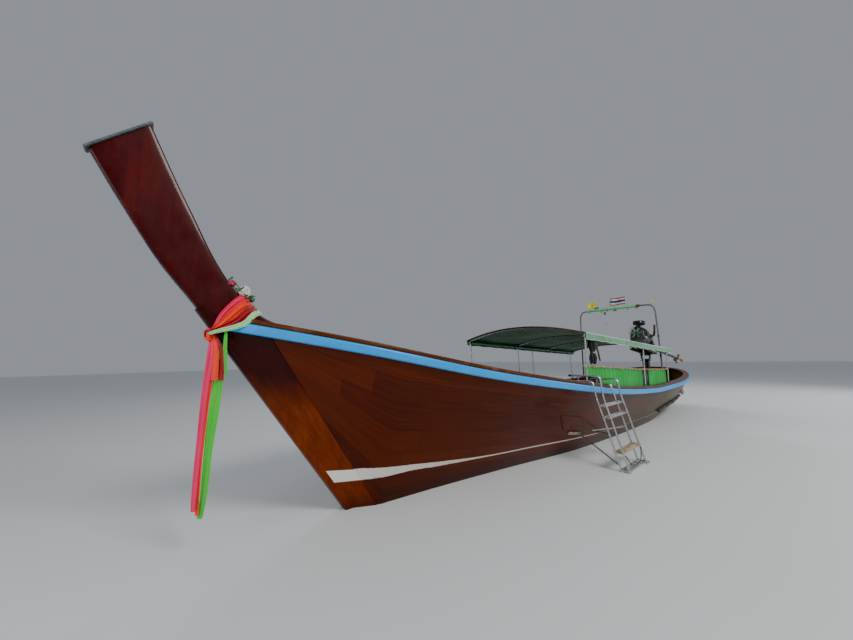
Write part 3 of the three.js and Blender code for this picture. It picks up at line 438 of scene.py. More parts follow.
def piece(name, parts, body="hull", stands_for=()):
    """Puts bodies into one mesh: parts is a list of (shells, finish) pairs. All arrays go in whole."""
    bodies = [(together(*(s if isinstance(s, list) else [s])), finish) for s, finish in parts]
    whole = together(*[b for b, _ in bodies])
    n4, n3 = len(whole["quads"]), len(whole["tris"])
    loops = np.r_[whole["quads"].ravel(), whole["tris"].ravel()]
    mesh = bpy.data.meshes.new(name)
    mesh.vertices.add(len(whole["verts"]))
    mesh.vertices.foreach_set("co", whole["verts"].astype(np.float32).ravel())
    mesh.loops.add(len(loops))
    mesh.loops.foreach_set("vertex_index", loops.astype(np.int32))
    mesh.polygons.add(n4 + n3)
    mesh.polygons.foreach_set("loop_start",
                              np.r_[np.arange(n4) * 4, n4 * 4 + np.arange(n3) * 3].astype(np.int32))
    which = [np.concatenate([np.full(len(b[key]), k) for k, (b, _) in enumerate(bodies)])
             for key in ("quads", "tris")]
    mesh.polygons.foreach_set("material_index", np.concatenate(which).astype(np.int32))
    mesh.polygons.foreach_set("use_smooth", np.ones(n4 + n3, bool))
    mesh.update(calc_edges=True)
    run = np.r_[whole["quad_map"].reshape(-1, 2), whole["tri_map"].reshape(-1, 2)]
    mesh.uv_layers.new(name="run").data.foreach_set("uv", run.astype(np.float32).ravel())
    for layer, value in whole["layers"].items():
        mesh.uv_layers.new(name=layer).data.foreach_set("uv", value[loops].astype(np.float32).ravel())
    mesh.set_sharp_from_angle(angle=SHARP_ANGLE)
    for _, finish in bodies:
        mesh.materials.append(finish.material)
    made = bpy.data.objects.new(name, mesh)
    bpy.context.scene.collection.objects.link(made)
    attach(made, body)
    if stands_for:
        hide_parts(*stands_for)
    return made


def hanging_cord(name, places, radius, finish):
    """A round cord through the given places."""
    path = spline(places, 60)
    made = piece(name, [(tube(path, radius, 12), finish)])


# Finishes
def tint(*rgb):
    """A colour given as 0 to 255 on screen, as the shader wants it."""
    c = np.array(rgb, float) / 255
    return tuple(np.where(c <= 0.04045, c / 12.92, ((c + 0.055) / 1.055) ** 2.4)) + (1.0,)


class Finish:
    """A procedural finish: small nodes worked into one shader."""

    def __init__(self, name, **constants):
        self.material = bpy.data.materials.new(name)
        self.material.use_nodes = True
        self.nodes, self.links = self.material.node_tree.nodes, self.material.node_tree.links
        self.shader = self.nodes["Principled BSDF"]
        for key, value in constants.items():
            self.shader.inputs[key.replace("_", " ")].default_value = value

    def add(self, kind, inputs=(), **settings):
        node = self.nodes.new("ShaderNode" + kind)
        for key, value in settings.items():
            setattr(node, key, value)
        for key, value in dict(inputs).items():
            if isinstance(value, bpy.types.NodeSocket):
                self.links.new(value, node.inputs[key])
            else:
                node.inputs[key].default_value = value
        return node

    def place(self, scale=(1, 1, 1), turn=(0, 0, 0), layer=None):
        """Where a point is: in the boat's own space, or on the piece's map when a layer is named."""
        if layer:
            source = self.add("UVMap", uv_map=layer).outputs["UV"]
        else:
            source = self.add("TexCoord").outputs["Object"]
        inputs = {"Vector": source, "Scale": scale, "Rotation": turn}
        return self.add("Mapping", inputs).outputs["Vector"]

    def noise(self, where, scale, detail, rough=0.55, warp=0.0):
        inputs = {"Vector": where, "Scale": scale, "Detail": detail, "Roughness": rough, "Distortion": warp}
        return self.add("TexNoise", inputs).outputs["Fac"]

    def bands(self, where, scale, warp=0.0, along="X"):
        inputs = {"Vector": where, "Scale": scale, "Distortion": warp}
        return self.add("TexWave", inputs, bands_direction=along).outputs["Fac"]

    def ramp(self, value, *stops):
        """Colours or plain numbers at places from 0 to 1."""
        node = self.add("ValToRGB", {"Fac": value})
        line = node.color_ramp.elements
        line[0].position, line[1].position = stops[0][0], stops[-1][0]
        for at, _ in stops[1:-1]:
            line.new(at)
        for element, (_, colour) in zip(line, stops):
            element.color = colour if isinstance(colour, tuple) else (colour, colour, colour, 1)
        return node.outputs["Color"]

    def math(self, how, a, b=0.0, c=0.0):
        return self.add("Math", {0: a, 1: b, 2: c}, operation=how).outputs[0]

    def mix(self, factor, a, b, how="MIX"):
        return self.add("Mix", {0: factor, 6: a, 7: b}, data_type="RGBA", blend_type=how).outputs[2]

    def split(self, where):
        return self.add("SeparateXYZ", {0: where}).outputs

    def chance(self, *values):
        """A random number that stays the same wherever the given values do."""
        joined = self.add("CombineXYZ", dict(enumerate(values))).outputs[0]
        return self.add("TexWhiteNoise", {"Vector": joined}, noise_dimensions="3D").outputs["Value"]

    def shows(self, colour, roughness=None, height=None, strength=0.3, distance=0.002):
        self.links.new(colour, self.shader.inputs["Base Color"])
        if roughness is not None:
            self.links.new(roughness, self.shader.inputs["Roughness"])
        if height is not None:
            bump = self.add("Bump", {"Height": height, "Strength": strength, "Distance": distance})
            self.links.new(bump.outputs[0], self.shader.inputs["Normal"])
        return self


def wood_grain(f, where):
    """Long streaks with a little waviness, lighter and darker by turns, from stretched noise."""
    streak = f.noise(where, 3.0, 8.0, 0.62, 0.35)
    pores = f.noise(where, 26.0, 3.0, 0.7)
    return f.math("MULTIPLY_ADD", pores, 0.3, f.math("MULTIPLY", streak, 0.7))


PLANK_LONG = 3.4


def planked_varnish():
    """Varnished planks laid along the map: run in metres along u, the strake number along v. Each
    plank has its own tone and its own butts, the tone goes grey-olive aft, and the boot stripe is
    painted on by the map of marks, ragged and chipped."""
    f = Finish("hull_varnish", Coat_Weight=0.22, Coat_Roughness=0.1, Specular_IOR_Level=0.15)
    run = f.split(f.place(layer="run"))
    strake = f.math("FLOOR", run[1])
    offset = f.math("MULTIPLY", f.chance(strake), PLANK_LONG)
    length = f.math("DIVIDE", f.math("ADD", run[0], offset), PLANK_LONG)
    plank = f.chance(strake, f.math("FLOOR", length))
    in_strake, in_length = f.math("FRACT", run[1]), f.math("FRACT", length)
    seam = f.math("MINIMUM", in_strake, f.math("SUBTRACT", 1.0, in_strake))
    butt = f.math("MINIMUM", in_length, f.math("SUBTRACT", 1.0, in_length))
    open_seam = f.ramp(f.math("MULTIPLY", seam, 10.0), (0.0, 0.7), (0.08, 0.4), (0.2, 0.0))
    open_butt = f.ramp(f.math("MULTIPLY", butt, 200.0), (0.0, 0.55), (0.12, 0.4), (0.25, 0.0))
    gap = f.math("MAXIMUM", open_seam, open_butt)
    grain = wood_grain(f, f.place((0.55, 5.2, 1), layer="run"))
    broad = f.noise(f.place((0.5, 0.5, 1.1)), 1.6, 3.0)
    wood = f.ramp(grain, (0.2, tint(44, 12, 2)), (0.42, tint(82, 28, 4)), (0.6, tint(112, 44, 7)),
                  (0.85, tint(142, 66, 14)))
    tone = f.ramp(plank, (0.0, tint(172, 160, 150)), (0.5, tint(214, 208, 200)), (1.0, tint(255, 250, 240)))
    wood = f.mix(1.0, wood, tone, "MULTIPLY")
    worn = f.ramp(broad, (0.32, 0.0), (0.72, 0.65))
    wood = f.mix(worn, wood, tint(84, 32, 8))
    space = f.split(f.place())
    aft = f.ramp(f.math("MULTIPLY_ADD", space[0], -0.14, 0.12), (0.06, 0.0), (0.55, 0.78), (0.9, 0.86))
    wood = f.mix(aft, wood, f.mix(grain, tint(50, 43, 16), tint(92, 80, 38)))
    # darker close to the waterline, fading out by about 0.2 m, with a ragged edge
    darker_low = f.math("MULTIPLY_ADD", f.noise(f.place((1, 1, 0.4)), 2.4, 4.0), 0.16, space[2])
    wood = f.mix(f.ramp(darker_low, (0.1, 0.6), (0.26, 0.0)), wood, tint(40, 14, 5))
    runs = f.noise(f.place((4.5, 4.5, 0.35)), 2.0, 6.0, 0.7)
    wood = f.mix(f.ramp(runs, (0.56, 0.0), (0.78, 0.3)), wood, tint(48, 30, 18))
    wood = f.mix(gap, wood, tint(26, 9, 3))
    height = f.math("SUBTRACT", f.math("MULTIPLY", grain, 0.35), gap)
    rough = f.ramp(f.math("ADD", f.math("MULTIPLY", grain, 0.4), f.math("MULTIPLY", broad, 0.6)),
                   (0.3, 0.34), (0.7, 0.58))
    marks = f.split(f.place(layer="marks"))
    ragged = f.math("MULTIPLY_ADD", f.noise(f.place((6, 6, 6)), 3.0, 4.0), 0.16, marks[0])
    inside = f.math("MULTIPLY", f.ramp(ragged, (0.07, 0.0), (0.1, 1.0)),
                    f.ramp(f.math("SUBTRACT", ragged, 0.2), (0.86, 1.0), (0.9, 0.0)))
    chips = f.ramp(f.noise(f.place((9, 9, 26)), 2.2, 6.0, 0.7), (0.6, 1.0), (0.68, 0.3))
    white = f.mix(broad, tint(236, 232, 222), tint(198, 196, 186))
    wood = f.mix(f.math("MULTIPLY", inside, chips), wood, white)
    return f.shows(wood, rough, height, 0.35, 0.004)


def stem_varnish():
    """The broad board behind the stem: grain up the rake, orange-brown low, dark red at the head, the dark
    head being painted shadow under the ribbons and prow.
    """
    f = Finish("stem_varnish", Coat_Weight=0.22, Coat_Roughness=0.1, Specular_IOR_Level=0.15)
    grain = wood_grain(f, f.place((2.2, 9, 0.5), turn=(0, -0.6, 0)))
    space = f.split(f.place())
    low = f.ramp(grain, (0.25, tint(70, 21, 2)), (0.55, tint(112, 43, 4)), (0.8, tint(142, 64, 10)))
    high = f.ramp(grain, (0.3, tint(30, 4, 2)), (0.7, tint(64, 11, 4)))
    waver = f.math("MULTIPLY_ADD", f.noise(f.place((1.2, 1.2, 1.2)), 2.0, 3.0), 0.35, space[2])
    # painted shadow: higher up the board turns dark red, standing in for the shade under the ribbons and
    # prow
    wood = f.mix(f.ramp(f.math("SUBTRACT", waver, 1.0), (0.16, 0.0), (0.5, 1.0)), low, high)
    stripe = f.split(f.place(layer="marks"))
    inside = f.math("MULTIPLY", f.ramp(stripe[0], (0.02, 0.0), (0.05, 1.0)),
                    f.ramp(stripe[0], (0.95, 1.0), (0.98, 0.0)))
    wood = f.mix(inside, wood, tint(232, 228, 218))
    wood = f.mix(f.ramp(space[2], (0.02, 0.7), (0.2, 0.0)), wood, tint(52, 16, 9))
    return f.shows(wood, f.ramp(grain, (0.3, 0.3), (0.7, 0.5)), grain, 0.25, 0.003)


def varnish(name, dark, mid, light, scale, gloss, turn=(0, 0, 0), layer=None, wear=0.2):
    """Varnished timber with its grain along X, or along the map's u; worn patches show paler wood."""
    f = Finish(name, Coat_Weight=gloss * 0.4, Coat_Roughness=0.1, Specular_IOR_Level=0.15)
    grain = wood_grain(f, f.place(scale, turn, layer))
    wood = f.ramp(grain, (0.22, dark), (0.5, mid), (0.8, light))
    patches = f.noise(f.place((2.3, 2.3, 2.3)), 1.7, 5.0, 0.6)
    wood = f.mix(f.ramp(patches, (0.55, 0.0), (0.8, wear)), wood, tint(168, 128, 92))
    return f.shows(wood, f.ramp(patches, (0.35, 0.3), (0.75, 0.6)), grain, 0.3, 0.003)


def bare_wood(name, dark, light, scale=(0.7, 12, 12)):
    """Weathered wood: grey and brown streaks, small cracks along the grain and dirt in patches."""
    f = Finish(name)
    where = f.place(scale)
    grain = wood_grain(f, where)
    wood = f.ramp(grain, (0.25, dark), (0.75, light))
    crack = f.ramp(f.noise(where, 7.0, 2.0, 0.4), (0.36, 1.0), (0.42, 0.0))
    dirt = f.noise(f.place((3, 3, 3)), 1.5, 6.0, 0.65)
    wood = f.mix(f.ramp(dirt, (0.45, 0.0), (0.75, 0.6)), wood, tint(62, 52, 40))
    wood = f.mix(f.math("MULTIPLY", crack, 0.55), wood, tint(34, 26, 20))
    height = f.math("SUBTRACT", grain, f.math("MULTIPLY", crack, 0.7))
    return f.shows(wood, f.ramp(dirt, (0.3, 0.62), (0.7, 0.85)), height, 0.5, 0.004)


def painted_wood(name, fresh, faded, under, chips, layer=None):
    """Brushed gloss paint over wood: long brush marks, faded patches and chips down to the wood."""
    f = Finish(name, Coat_Weight=0.35, Coat_Roughness=0.2)
    brush = f.noise(f.place((0.8, 60, 60), layer=layer), 2.0, 4.0)
    patch = f.noise(f.place((1.5, 1.5, 1.5)), 1.6, 5.0, 0.6)
    paint = f.mix(f.ramp(patch, (0.35, 0.0), (0.75, 0.8)), fresh, faded)
    paint = f.mix(f.math("MULTIPLY", brush, 0.22), paint, faded)
    chip = f.ramp(f.noise(f.place((7, 16, 16)), 2.3, 8.0, 0.72), (chips, 0.0), (chips + 0.03, 1.0))
    grime = f.ramp(f.noise(f.place((2.6, 2.6, 9)), 3.1, 7.0, 0.7), (0.5, 0.0), (0.85, 0.4))
    paint = f.mix(grime, paint, tint(84, 76, 60))
    paint = f.mix(chip, paint, under)
    height = f.math("SUBTRACT", f.math("MULTIPLY", brush, 0.25), chip)
    return f.shows(paint, f.ramp(patch, (0.3, 0.32), (0.75, 0.55)), height, 0.3, 0.002)


def deck_planks(name, width, shade, light, paint=None):
    """Deck boards along X, parted by caulked seams every width across Y, each of its own tone."""
    f = Finish(name)
    space = f.split(f.place((1, 1 / width, 1)))
    board, across = f.math("FLOOR", space[1]), f.math("FRACT", space[1])
    seam = f.math("MINIMUM", across, f.math("SUBTRACT", 1.0, across))
    gap = f.ramp(seam, (0.015, 1.0), (0.045, 0.0))
    grain = wood_grain(f, f.place((0.7, 11, 11)))
    wood = f.ramp(grain, (0.25, shade), (0.75, light))
    wood = f.mix(f.math("MULTIPLY", f.chance(board), 0.35), wood, shade)
    worn = f.noise(f.place((1.4, 1.4, 1.4)), 1.8, 7.0, 0.7)
    if paint:
        wood = f.mix(f.ramp(worn, (0.48, 1.0), (0.62, 0.12)), wood, paint)
    wood = f.mix(gap, wood, tint(20, 17, 14))
    height = f.math("SUBTRACT", f.math("MULTIPLY", grain, 0.4), gap)
    return f.shows(wood, f.ramp(worn, (0.3, 0.5), (0.8, 0.8)), height, 0.4, 0.004)


def stainless():
    """Polished tube gone dull in salt air: fine scratches round it and brown tea-stain freckles."""
    f = Finish("stainless_tube", Metallic=1.0)
    scratch = f.noise(f.place((1.5, 90, 1), layer="run"), 4.0, 4.0)
    stain = f.noise(f.place((7, 7, 7)), 2.4, 8.0, 0.7)
    steel = f.mix(f.ramp(scratch, (0.3, 0.0), (0.7, 0.5)), tint(214, 216, 218), tint(168, 170, 172))
    steel = f.mix(f.ramp(stain, (0.58, 0.0), (0.8, 0.55)), steel, tint(124, 98, 70))
    return f.shows(steel, f.ramp(stain, (0.35, 0.18), (0.75, 0.46)), scratch, 0.08, 0.001)


def iron(name, base, oil=0.6, rust=0.25, metal=0.5, rough=(0.32, 0.68)):
    """Painted casting: orange-peel grain, worn high spots, rust bloom and dark oil in patches."""
    f = Finish(name, Metallic=metal)
    grit = f.noise(f.place((60, 60, 60)), 1.6, 4.0)
    patch = f.noise(f.place((5, 5, 5)), 1.7, 7.0, 0.7)
    drip = f.noise(f.place((9, 9, 2.2)), 1.5, 6.0, 0.65)
    paint = f.mix(f.math("MULTIPLY", grit, 0.25), base, tint(120, 118, 114))
    paint = f.mix(f.ramp(patch, (0.6, 0.0), (0.76, rust)), paint, tint(104, 56, 30))
    paint = f.mix(f.ramp(drip, (0.5, 0.0), (0.66, oil)), paint, tint(12, 11, 10))
    height = f.math("ADD", f.math("MULTIPLY", grit, 0.6), patch)
    return f.shows(paint, f.ramp(drip, (0.45, rough[1]), (0.65, rough[0])), height, 0.25, 0.002)


def rubber(name, base):
    """Dull black rubber with a fine grain and grey dust where it is high."""
    f = Finish(name, Roughness=0.78)
    grit = f.noise(f.place((80, 80, 80)), 1.4, 3.0)
    dust = f.noise(f.place((6, 6, 6)), 1.6, 6.0)
    colour = f.mix(f.ramp(dust, (0.5, 0.0), (0.8, 0.35)), base, tint(92, 88, 80))
    return f.shows(colour, None, grit, 0.3, 0.001)


def woven(name, colours, weave=900.0, sheen=0.25, through=0.0, rough=0.72, stain=None, folds=0.5):
    """Cloth on its own map in metres: crossed threads, faded and soiled patches, soft creases."""
    f = Finish(name, Sheen_Weight=sheen, Roughness=rough, Subsurface_Weight=through,
               Subsurface_Radius=(0.02, 0.02, 0.02))
    warp = f.bands(f.place(layer="run"), weave)
    weft = f.bands(f.place(layer="run"), weave, along="Y")
    thread = f.math("MAXIMUM", warp, weft)
    patch = f.noise(f.place((1.3, 1.3, 1.3)), 1.8, 6.0, 0.6)
    colour = f.mix(f.ramp(patch, (0.3, 0.0), (0.72, 1.0)), colours[0], colours[1])
    colour = f.mix(f.math("MULTIPLY", thread, 0.12), colour, colours[1])
    if stain:
        spots = f.noise(f.place((3.5, 3.5, 7)), 1.9, 8.0, 0.72)
        colour = f.mix(f.ramp(spots, (0.54, 0.0), (0.72, stain[1])), colour, stain[0])
    crease = f.noise(f.place((9, 9, 5)), 1.2, 4.0, 0.5, 0.6)
    height = f.math("ADD", f.math("MULTIPLY", crease, folds), f.math("MULTIPLY", thread, 0.08))
    return f.shows(colour, None, height, 0.4, 0.006)


def striped(name, stops, **cloth_of):
    """Cloth in flat stripes across the piece's own stripe map, over the woven cloth's folds."""
    f = woven(name, (stops[0][1], stops[0][1]), **cloth_of)
    across = f.split(f.place(layer="stripe"))[0]
    bands = f.ramp(across, *stops)
    bands.node.color_ramp.interpolation = "CONSTANT"
    faded = f.noise(f.place((4, 4, 4)), 1.5, 5.0)
    colour = f.mix(f.ramp(faded, (0.4, 0.0), (0.8, 0.22)), bands, tint(214, 206, 196))
    return f.shows(colour)


def cordage(name, pale, dark):
    """Laid fibre rope: strands slanting across the map, frayed and dirty in patches."""
    f = Finish(name, Roughness=0.85, Sheen_Weight=0.2)
    lay = f.bands(f.place((1, 1, 1), (0, 0, 0.7), "run"), 260.0, 1.5)
    dirt = f.noise(f.place((14, 14, 14)), 1.5, 6.0)
    colour = f.mix(f.ramp(dirt, (0.35, 0.0), (0.75, 0.9)), pale, dark)
    colour = f.mix(f.math("MULTIPLY", lay, 0.3), colour, dark)
    return f.shows(colour, None, lay, 0.5, 0.002)


HULL_VARNISH = planked_varnish()
STEM_VARNISH = stem_varnish()
CAP_VARNISH = varnish("cap_varnish", tint(48, 20, 8), tint(92, 46, 20), tint(132, 78, 40),
                      (0.7, 16, 1), 0.35, layer="run", wear=0.4)
DECK_VARNISH = deck_planks("foredeck_varnish", 0.11, tint(88, 42, 18), tint(158, 92, 46))
RED_VARNISH = varnish("red_varnish", tint(34, 2, 2), tint(62, 5, 4), tint(92, 12, 7),
                      (5, 5, 0.55), 0.75, turn=(0, -0.6, 0), wear=0.05)
GREY_TIP = bare_wood("grey_tip", tint(62, 74, 78), tint(118, 128, 128), (1.5, 12, 12))
PLAIN_WOOD = bare_wood("plain_wood", tint(96, 74, 50), tint(160, 134, 98))
THWART_WOOD = bare_wood("thwart_wood", tint(104, 78, 50), tint(172, 140, 98), (10, 0.7, 10))
TREAD_WOOD = bare_wood("tread_wood", tint(150, 128, 98), tint(206, 188, 156), (2, 14, 14))
BLACK_TIMBER = bare_wood("black_timber", tint(20, 16, 13), tint(52, 42, 34))
DECK_PAINT = deck_planks("deck_paint", 0.14, tint(84, 72, 56), tint(128, 112, 88), tint(96, 108, 96))
BLUE_PAINT = painted_wood("blue_paint", tint(0, 152, 232), tint(0, 172, 246), tint(84, 66, 50), 0.69, "run")
STEEL = stainless()
GALVANISED = iron("galvanised_pipe", tint(112, 122, 118), 0.2, 0.5, 0.6, (0.4, 0.6))
ENGINE_BLACK = iron("engine_black", tint(26, 28, 30))
CAST_GREY = iron("cast_grey", tint(92, 96, 96), 0.5, 0.3, 0.8, (0.35, 0.55))
BARE_ALUMINIUM = iron("bare_aluminium", tint(168, 172, 172), 0.3, 0.05, 1.0, (0.3, 0.5))
PALE_GREEN_METAL = iron("pale_green_metal", tint(128, 160, 136), 0.35, 0.2, 0.2)
RUSTED = iron("rusted_pipe", tint(70, 44, 32), 0.2, 0.9, 0.4, (0.7, 0.85))
BRONZE = iron("bronze_casting", tint(166, 122, 58), 0.25, 0.1, 1.0, (0.28, 0.45))
RUBBER = rubber("black_rubber", tint(18, 18, 19))
CANOPY_CLOTH = woven("canopy_cloth", (tint(4, 96, 42), tint(24, 128, 62)), 700.0, 0.15, rough=0.62,
                     stain=(tint(40, 62, 40), 0.5))
VALANCE_PIPING = woven("valance_piping", (tint(190, 218, 200), tint(220, 234, 222)), 700.0, 0.2)
VALANCE_CLOTH = woven("valance_cloth", (tint(64, 138, 92), tint(104, 168, 124)), 700.0, 0.2, rough=0.7,
                      stain=(tint(112, 84, 54), 0.75))
DARK_CLOTH = woven("dark_cloth", (tint(10, 26, 18), tint(22, 46, 30)), 700.0, 0.2)
BROWN_TAPE = woven("brown_tape", (tint(62, 42, 30), tint(96, 72, 50)), 900.0, 0.2)
GREEN_SHEET = woven("green_sheet", (tint(2, 150, 44), tint(24, 180, 66)), 800.0, 0.1, rough=0.55,
                    stain=(tint(24, 110, 60), 0.35))
AWNING_CLOTH = woven("awning_cloth", (tint(92, 196, 118), tint(136, 216, 150)), 800.0, 0.1, rough=0.6,
                     stain=(tint(96, 110, 70), 0.4))
YELLOW_CLOTH = woven("yellow_cloth", (tint(240, 206, 20), tint(252, 226, 60)), 1100.0, 0.1, through=0.1)
PINK = woven("pink_ribbon", (tint(232, 8, 84), tint(246, 40, 112)), 1200.0, 0.08, rough=0.5, folds=0.3)
ORANGE = woven("orange_ribbon", (tint(246, 44, 4), tint(252, 70, 16)), 1200.0, 0.08, rough=0.5, folds=0.3)
CRIMSON = woven("crimson_ribbon", (tint(140, 4, 14), tint(208, 16, 40)), 1200.0, 0.08, rough=0.5, folds=0.3)
PALE_GREEN = woven("pale_green_ribbon", (tint(150, 226, 150), tint(190, 238, 180)), 1200.0, 0.5)
BRIGHT_GREEN = woven("bright_green_ribbon", (tint(20, 176, 4), tint(64, 214, 24)), 1200.0, 0.5, rough=0.45)
FLAG_STRIPES = striped("flag_stripes", [
    (0.0, tint(196, 30, 44)), (0.17, tint(238, 236, 232)), (0.33, tint(34, 40, 104)),
    (0.67, tint(238, 236, 232)), (0.83, tint(196, 30, 44)),
], weave=1100.0)
STREAMER = striped("streamer_stripes", [
    (0.0, tint(206, 40, 56)), (0.34, tint(240, 238, 234)), (0.67, tint(40, 60, 140)),
], weave=1200.0)
WHITE_PETAL = woven("white_petal", (tint(246, 244, 236), tint(232, 226, 206)), 1500.0, 0.3)
MAGENTA_PETAL = woven("magenta_petal", (tint(206, 20, 96), tint(232, 60, 128)), 1500.0, 0.3)
LEAF = woven("leaf", (tint(34, 92, 34), tint(70, 132, 52)), 1500.0, 0.1)
PALE_ROPE = cordage("pale_rope", tint(226, 214, 186), tint(150, 132, 100))
RED_ROPE = cordage("red_rope", tint(196, 84, 66), tint(122, 58, 44))
DARK_ROPE = cordage("dark_rope", tint(58, 52, 46), tint(24, 21, 19))
PINK_PLASTIC = rubber("pink_plastic", tint(206, 146, 134))
TANK_PLASTIC = rubber("tank_plastic", tint(206, 166, 74))


# Camera, first because the cords and sheets are measured against its view
CAMERA_AT, YAW, PITCH, ROLL = np.array([5.021, 3.0536, 1.4296]), -2.2761, 0.1154, -0.0187
FOCAL_PIXELS, PICTURE_WIDE, SENSOR = 323.37, 853, 36.0


def set_camera():
    """The photograph's camera: ahead = (cos p·cos y, cos p·sin y, sin p), level right and up, both
    then turned by the roll; focal length in sensor millimetres = pixels / picture width · 36."""
    ahead = np.array([np.cos(PITCH) * np.cos(YAW), np.cos(PITCH) * np.sin(YAW), np.sin(PITCH)])
    level = np.array([np.sin(YAW), -np.cos(YAW), 0.0])
    above = np.cross(level, ahead)
    right = level * np.cos(ROLL) + above * np.sin(ROLL)
    up = above * np.cos(ROLL) - level * np.sin(ROLL)
    lens = bpy.data.cameras.new("photo_camera")
    lens.lens, lens.sensor_width = FOCAL_PIXELS / PICTURE_WIDE * SENSOR, SENSOR
    lens.clip_start, lens.clip_end = 0.05, 200
    camera = bpy.data.objects.new("photo_camera", lens)
    place = np.eye(4)
    place[:3] = np.stack([right, up, -ahead, CAMERA_AT], 1)
    camera.matrix_world = Matrix(place.tolist())
    bpy.context.scene.collection.objects.link(camera)
    bpy.context.scene.camera = camera


def set_light():
    """A pale floor at the waterline, a broad key light from ahead and to port, a soft fill and sky."""
    world = bpy.data.worlds.new("studio")
    world.use_nodes = True
    back = world.node_tree.nodes["Background"]
    back.inputs["Color"].default_value = (0.80, 0.86, 0.95, 1)
    back.inputs["Strength"].default_value = 0.62
    bpy.context.scene.world = world
    bpy.context.scene.view_settings.look = "AgX - Punchy"
    for name, at, target, size, power in (
        ("key", (1.0, 10.5, 10.0), (-0.5, 0, 0.6), 5.0, 1750),
        ("bow_fill", (11.0, 3.5, 4.0), (3.0, 0, 1.0), 5.0, 380),
        ("far_rim", (-8.0, -9.0, 8.0), (-2.0, 0, 1.0), 6.0, 700),
        ("stern_fill", (-12.0, 6.0, 5.0), (-5.0, 0, 1.0), 5.0, 420),
    ):
        lamp = bpy.data.lights.new(name, "AREA")
        lamp.shape, lamp.size, lamp.energy = "DISK", size, power
        lamp.color = (1.0, 0.97, 0.92) if name == "key" else (0.94, 0.97, 1.0)
        made = bpy.data.objects.new(name, lamp)
        place = np.eye(4)
        place[:3, :3], place[:3, 3] = turned_to([np.array(at) - np.array(target)])[0], at
        made.matrix_world = Matrix(place.tolist())
        bpy.context.scene.collection.objects.link(made)
    size = 60.0
    mesh = bpy.data.meshes.new("floor")
    mesh.from_pydata([(-size, -size, 0), (size, -size, 0), (size, size, 0), (-size, size, 0)], [],
                     [(0, 1, 2, 3)])
    floor = bpy.data.objects.new("floor", mesh)
    pale = Finish("floor_pale", Roughness=0.7)
    pale.shader.inputs["Base Color"].default_value = (0.72, 0.74, 0.74, 1)
    mesh.materials.append(pale.material)
    bpy.context.scene.collection.objects.link(floor)


set_camera()
set_light()


# Planking
def seam_x(z):
    return SEAM_X + (z - SEAM_Z) / SEAM_SLOPE


def stripe_marks(x, z):
    """Stripe coordinate: 0 at its lower edge and 1 at its upper, with the distance behind the seam."""
    low, top = line_through(STRIPE_LOW, x), line_through(STRIPE_TOP, x)
    return np.stack([(z - low) / np.maximum(top - low, 0.004) * 0.96 + 0.02, seam_x(z) - x], -1)


def hull_skin():
    """One side of the planking: stations along the plan curve and shares t^1.7 of the height; the
    inner face is set in by a plank's thickness square to the section, and level at the top edge."""
    x, y, nx, ny, run = plan_curve(230)
    t = np.linspace(0, 1, 46)
    share = t**1.7
    outer = hull_side(x[:, None], y[:, None], share[None])
    climb = np.gradient(outer, axis=1)
    tilt = np.arctan2(climb[..., 2], np.abs(climb[..., 1]))
    lean = np.clip((1 - share) / (1 - CHINE), 0, 1) * np.cos(tilt)
    inward = np.stack([-nx[:, None] * np.sin(tilt), -ny[:, None] * np.sin(tilt), lean], -1)
    inner = outer + PLANK * inward
    inner[..., 1] = np.maximum(inner[..., 1], HALF_STEM + 0.001)
    girth = np.r_[0, np.cumsum(np.linalg.norm(np.diff(outer[120], axis=0), axis=1))]
    strake = girth / girth[-1] * STRAKES
    ring = np.concatenate([outer, inner[:, ::-1]], 1)
    across = np.r_[strake, strake[::-1], 0]
    return shell(ring, ends="zip", along=run, across=across,
                 layers={"marks": stripe_marks(ring[..., 0], ring[..., 2])})


def on_hull(x, z, proud, sunk=0.006):
    """A board lying on the hull: outer face at the hull's half-breadth + proud, inner face sunk."""
    y = hull_half(x, z)
    outer, inner = np.stack([x, y + proud, z], -1), np.stack([x, y - sunk, z], -1)
    marks = np.concatenate([stripe_marks(x, z), stripe_marks(x, z)[:, ::-1]], 1)
    return slab(outer, inner, layers={"marks": marks})


def stem_board():
    """The broad board between the planks' ends and the stem's face: x = seam + t·(stem − seam), with
    its hind edge eased over the last tenth."""
    z = np.linspace(-0.24, 1.735, 70)[:, None]
    t = np.r_[0, 0.004, 0.02, np.linspace(0.06, 1, 16)][None]
    x = seam_x(z) + t * (stem_face(z) - 0.004 - seam_x(z))
    z = np.broadcast_to(z, x.shape)
    ease = 0.0075 * np.minimum(1, np.sqrt(t / 0.02 + 0.04)) * np.ones_like(x)
    return on_hull(x, z, ease, 0.004)


def stem_nose():
    """The stem's rounded face: a half-round outline carried up the rake, from below water to its head."""
    z = np.linspace(-0.40, 1.84, 40)
    path = np.stack([stem_face(z), 0 * z, z], 1)
    a = np.linspace(-np.pi / 2, np.pi / 2, 11)
    nose = np.stack([0.054 * np.sin(a), 0.016 * np.cos(a)], 1)
    outline = np.r_[nose, [(0.054, -0.05), (-0.054, -0.05)]]
    return carried(path, outline, lean=(1, 0, -STEM_RAKE))


SHEER_STEPS = 260


def along_sheer(outline, start, proud=0.0):
    """An outline of (out, up) carried round the sheer, closing on the centreline at the stern. Ahead
    of the hull's own sides it stands off the stem, and its outer part by a share proud of its width."""
    x, y, nx, ny, run = plan_curve(SHEER_STEPS, start, 0.0)
    base = np.stack([x, y, sheer(x)], 1)
    out, up = outline[..., 0], outline[..., 1]
    points = np.stack([base[:, None, 0] + nx[:, None] * out, base[:, None, 1] + ny[:, None] * out,
                       base[:, None, 2] + up + 0 * out], -1)
    beside_stem = np.where(x > 0, HALF_STEM + 0.002, 0.0)[:, None]
    spread = proud * np.where(x > 4, 1, 0)[:, None] * np.maximum(out, 0)
    points[..., 1] = np.maximum(points[..., 1], beside_stem + spread)
    return points, run


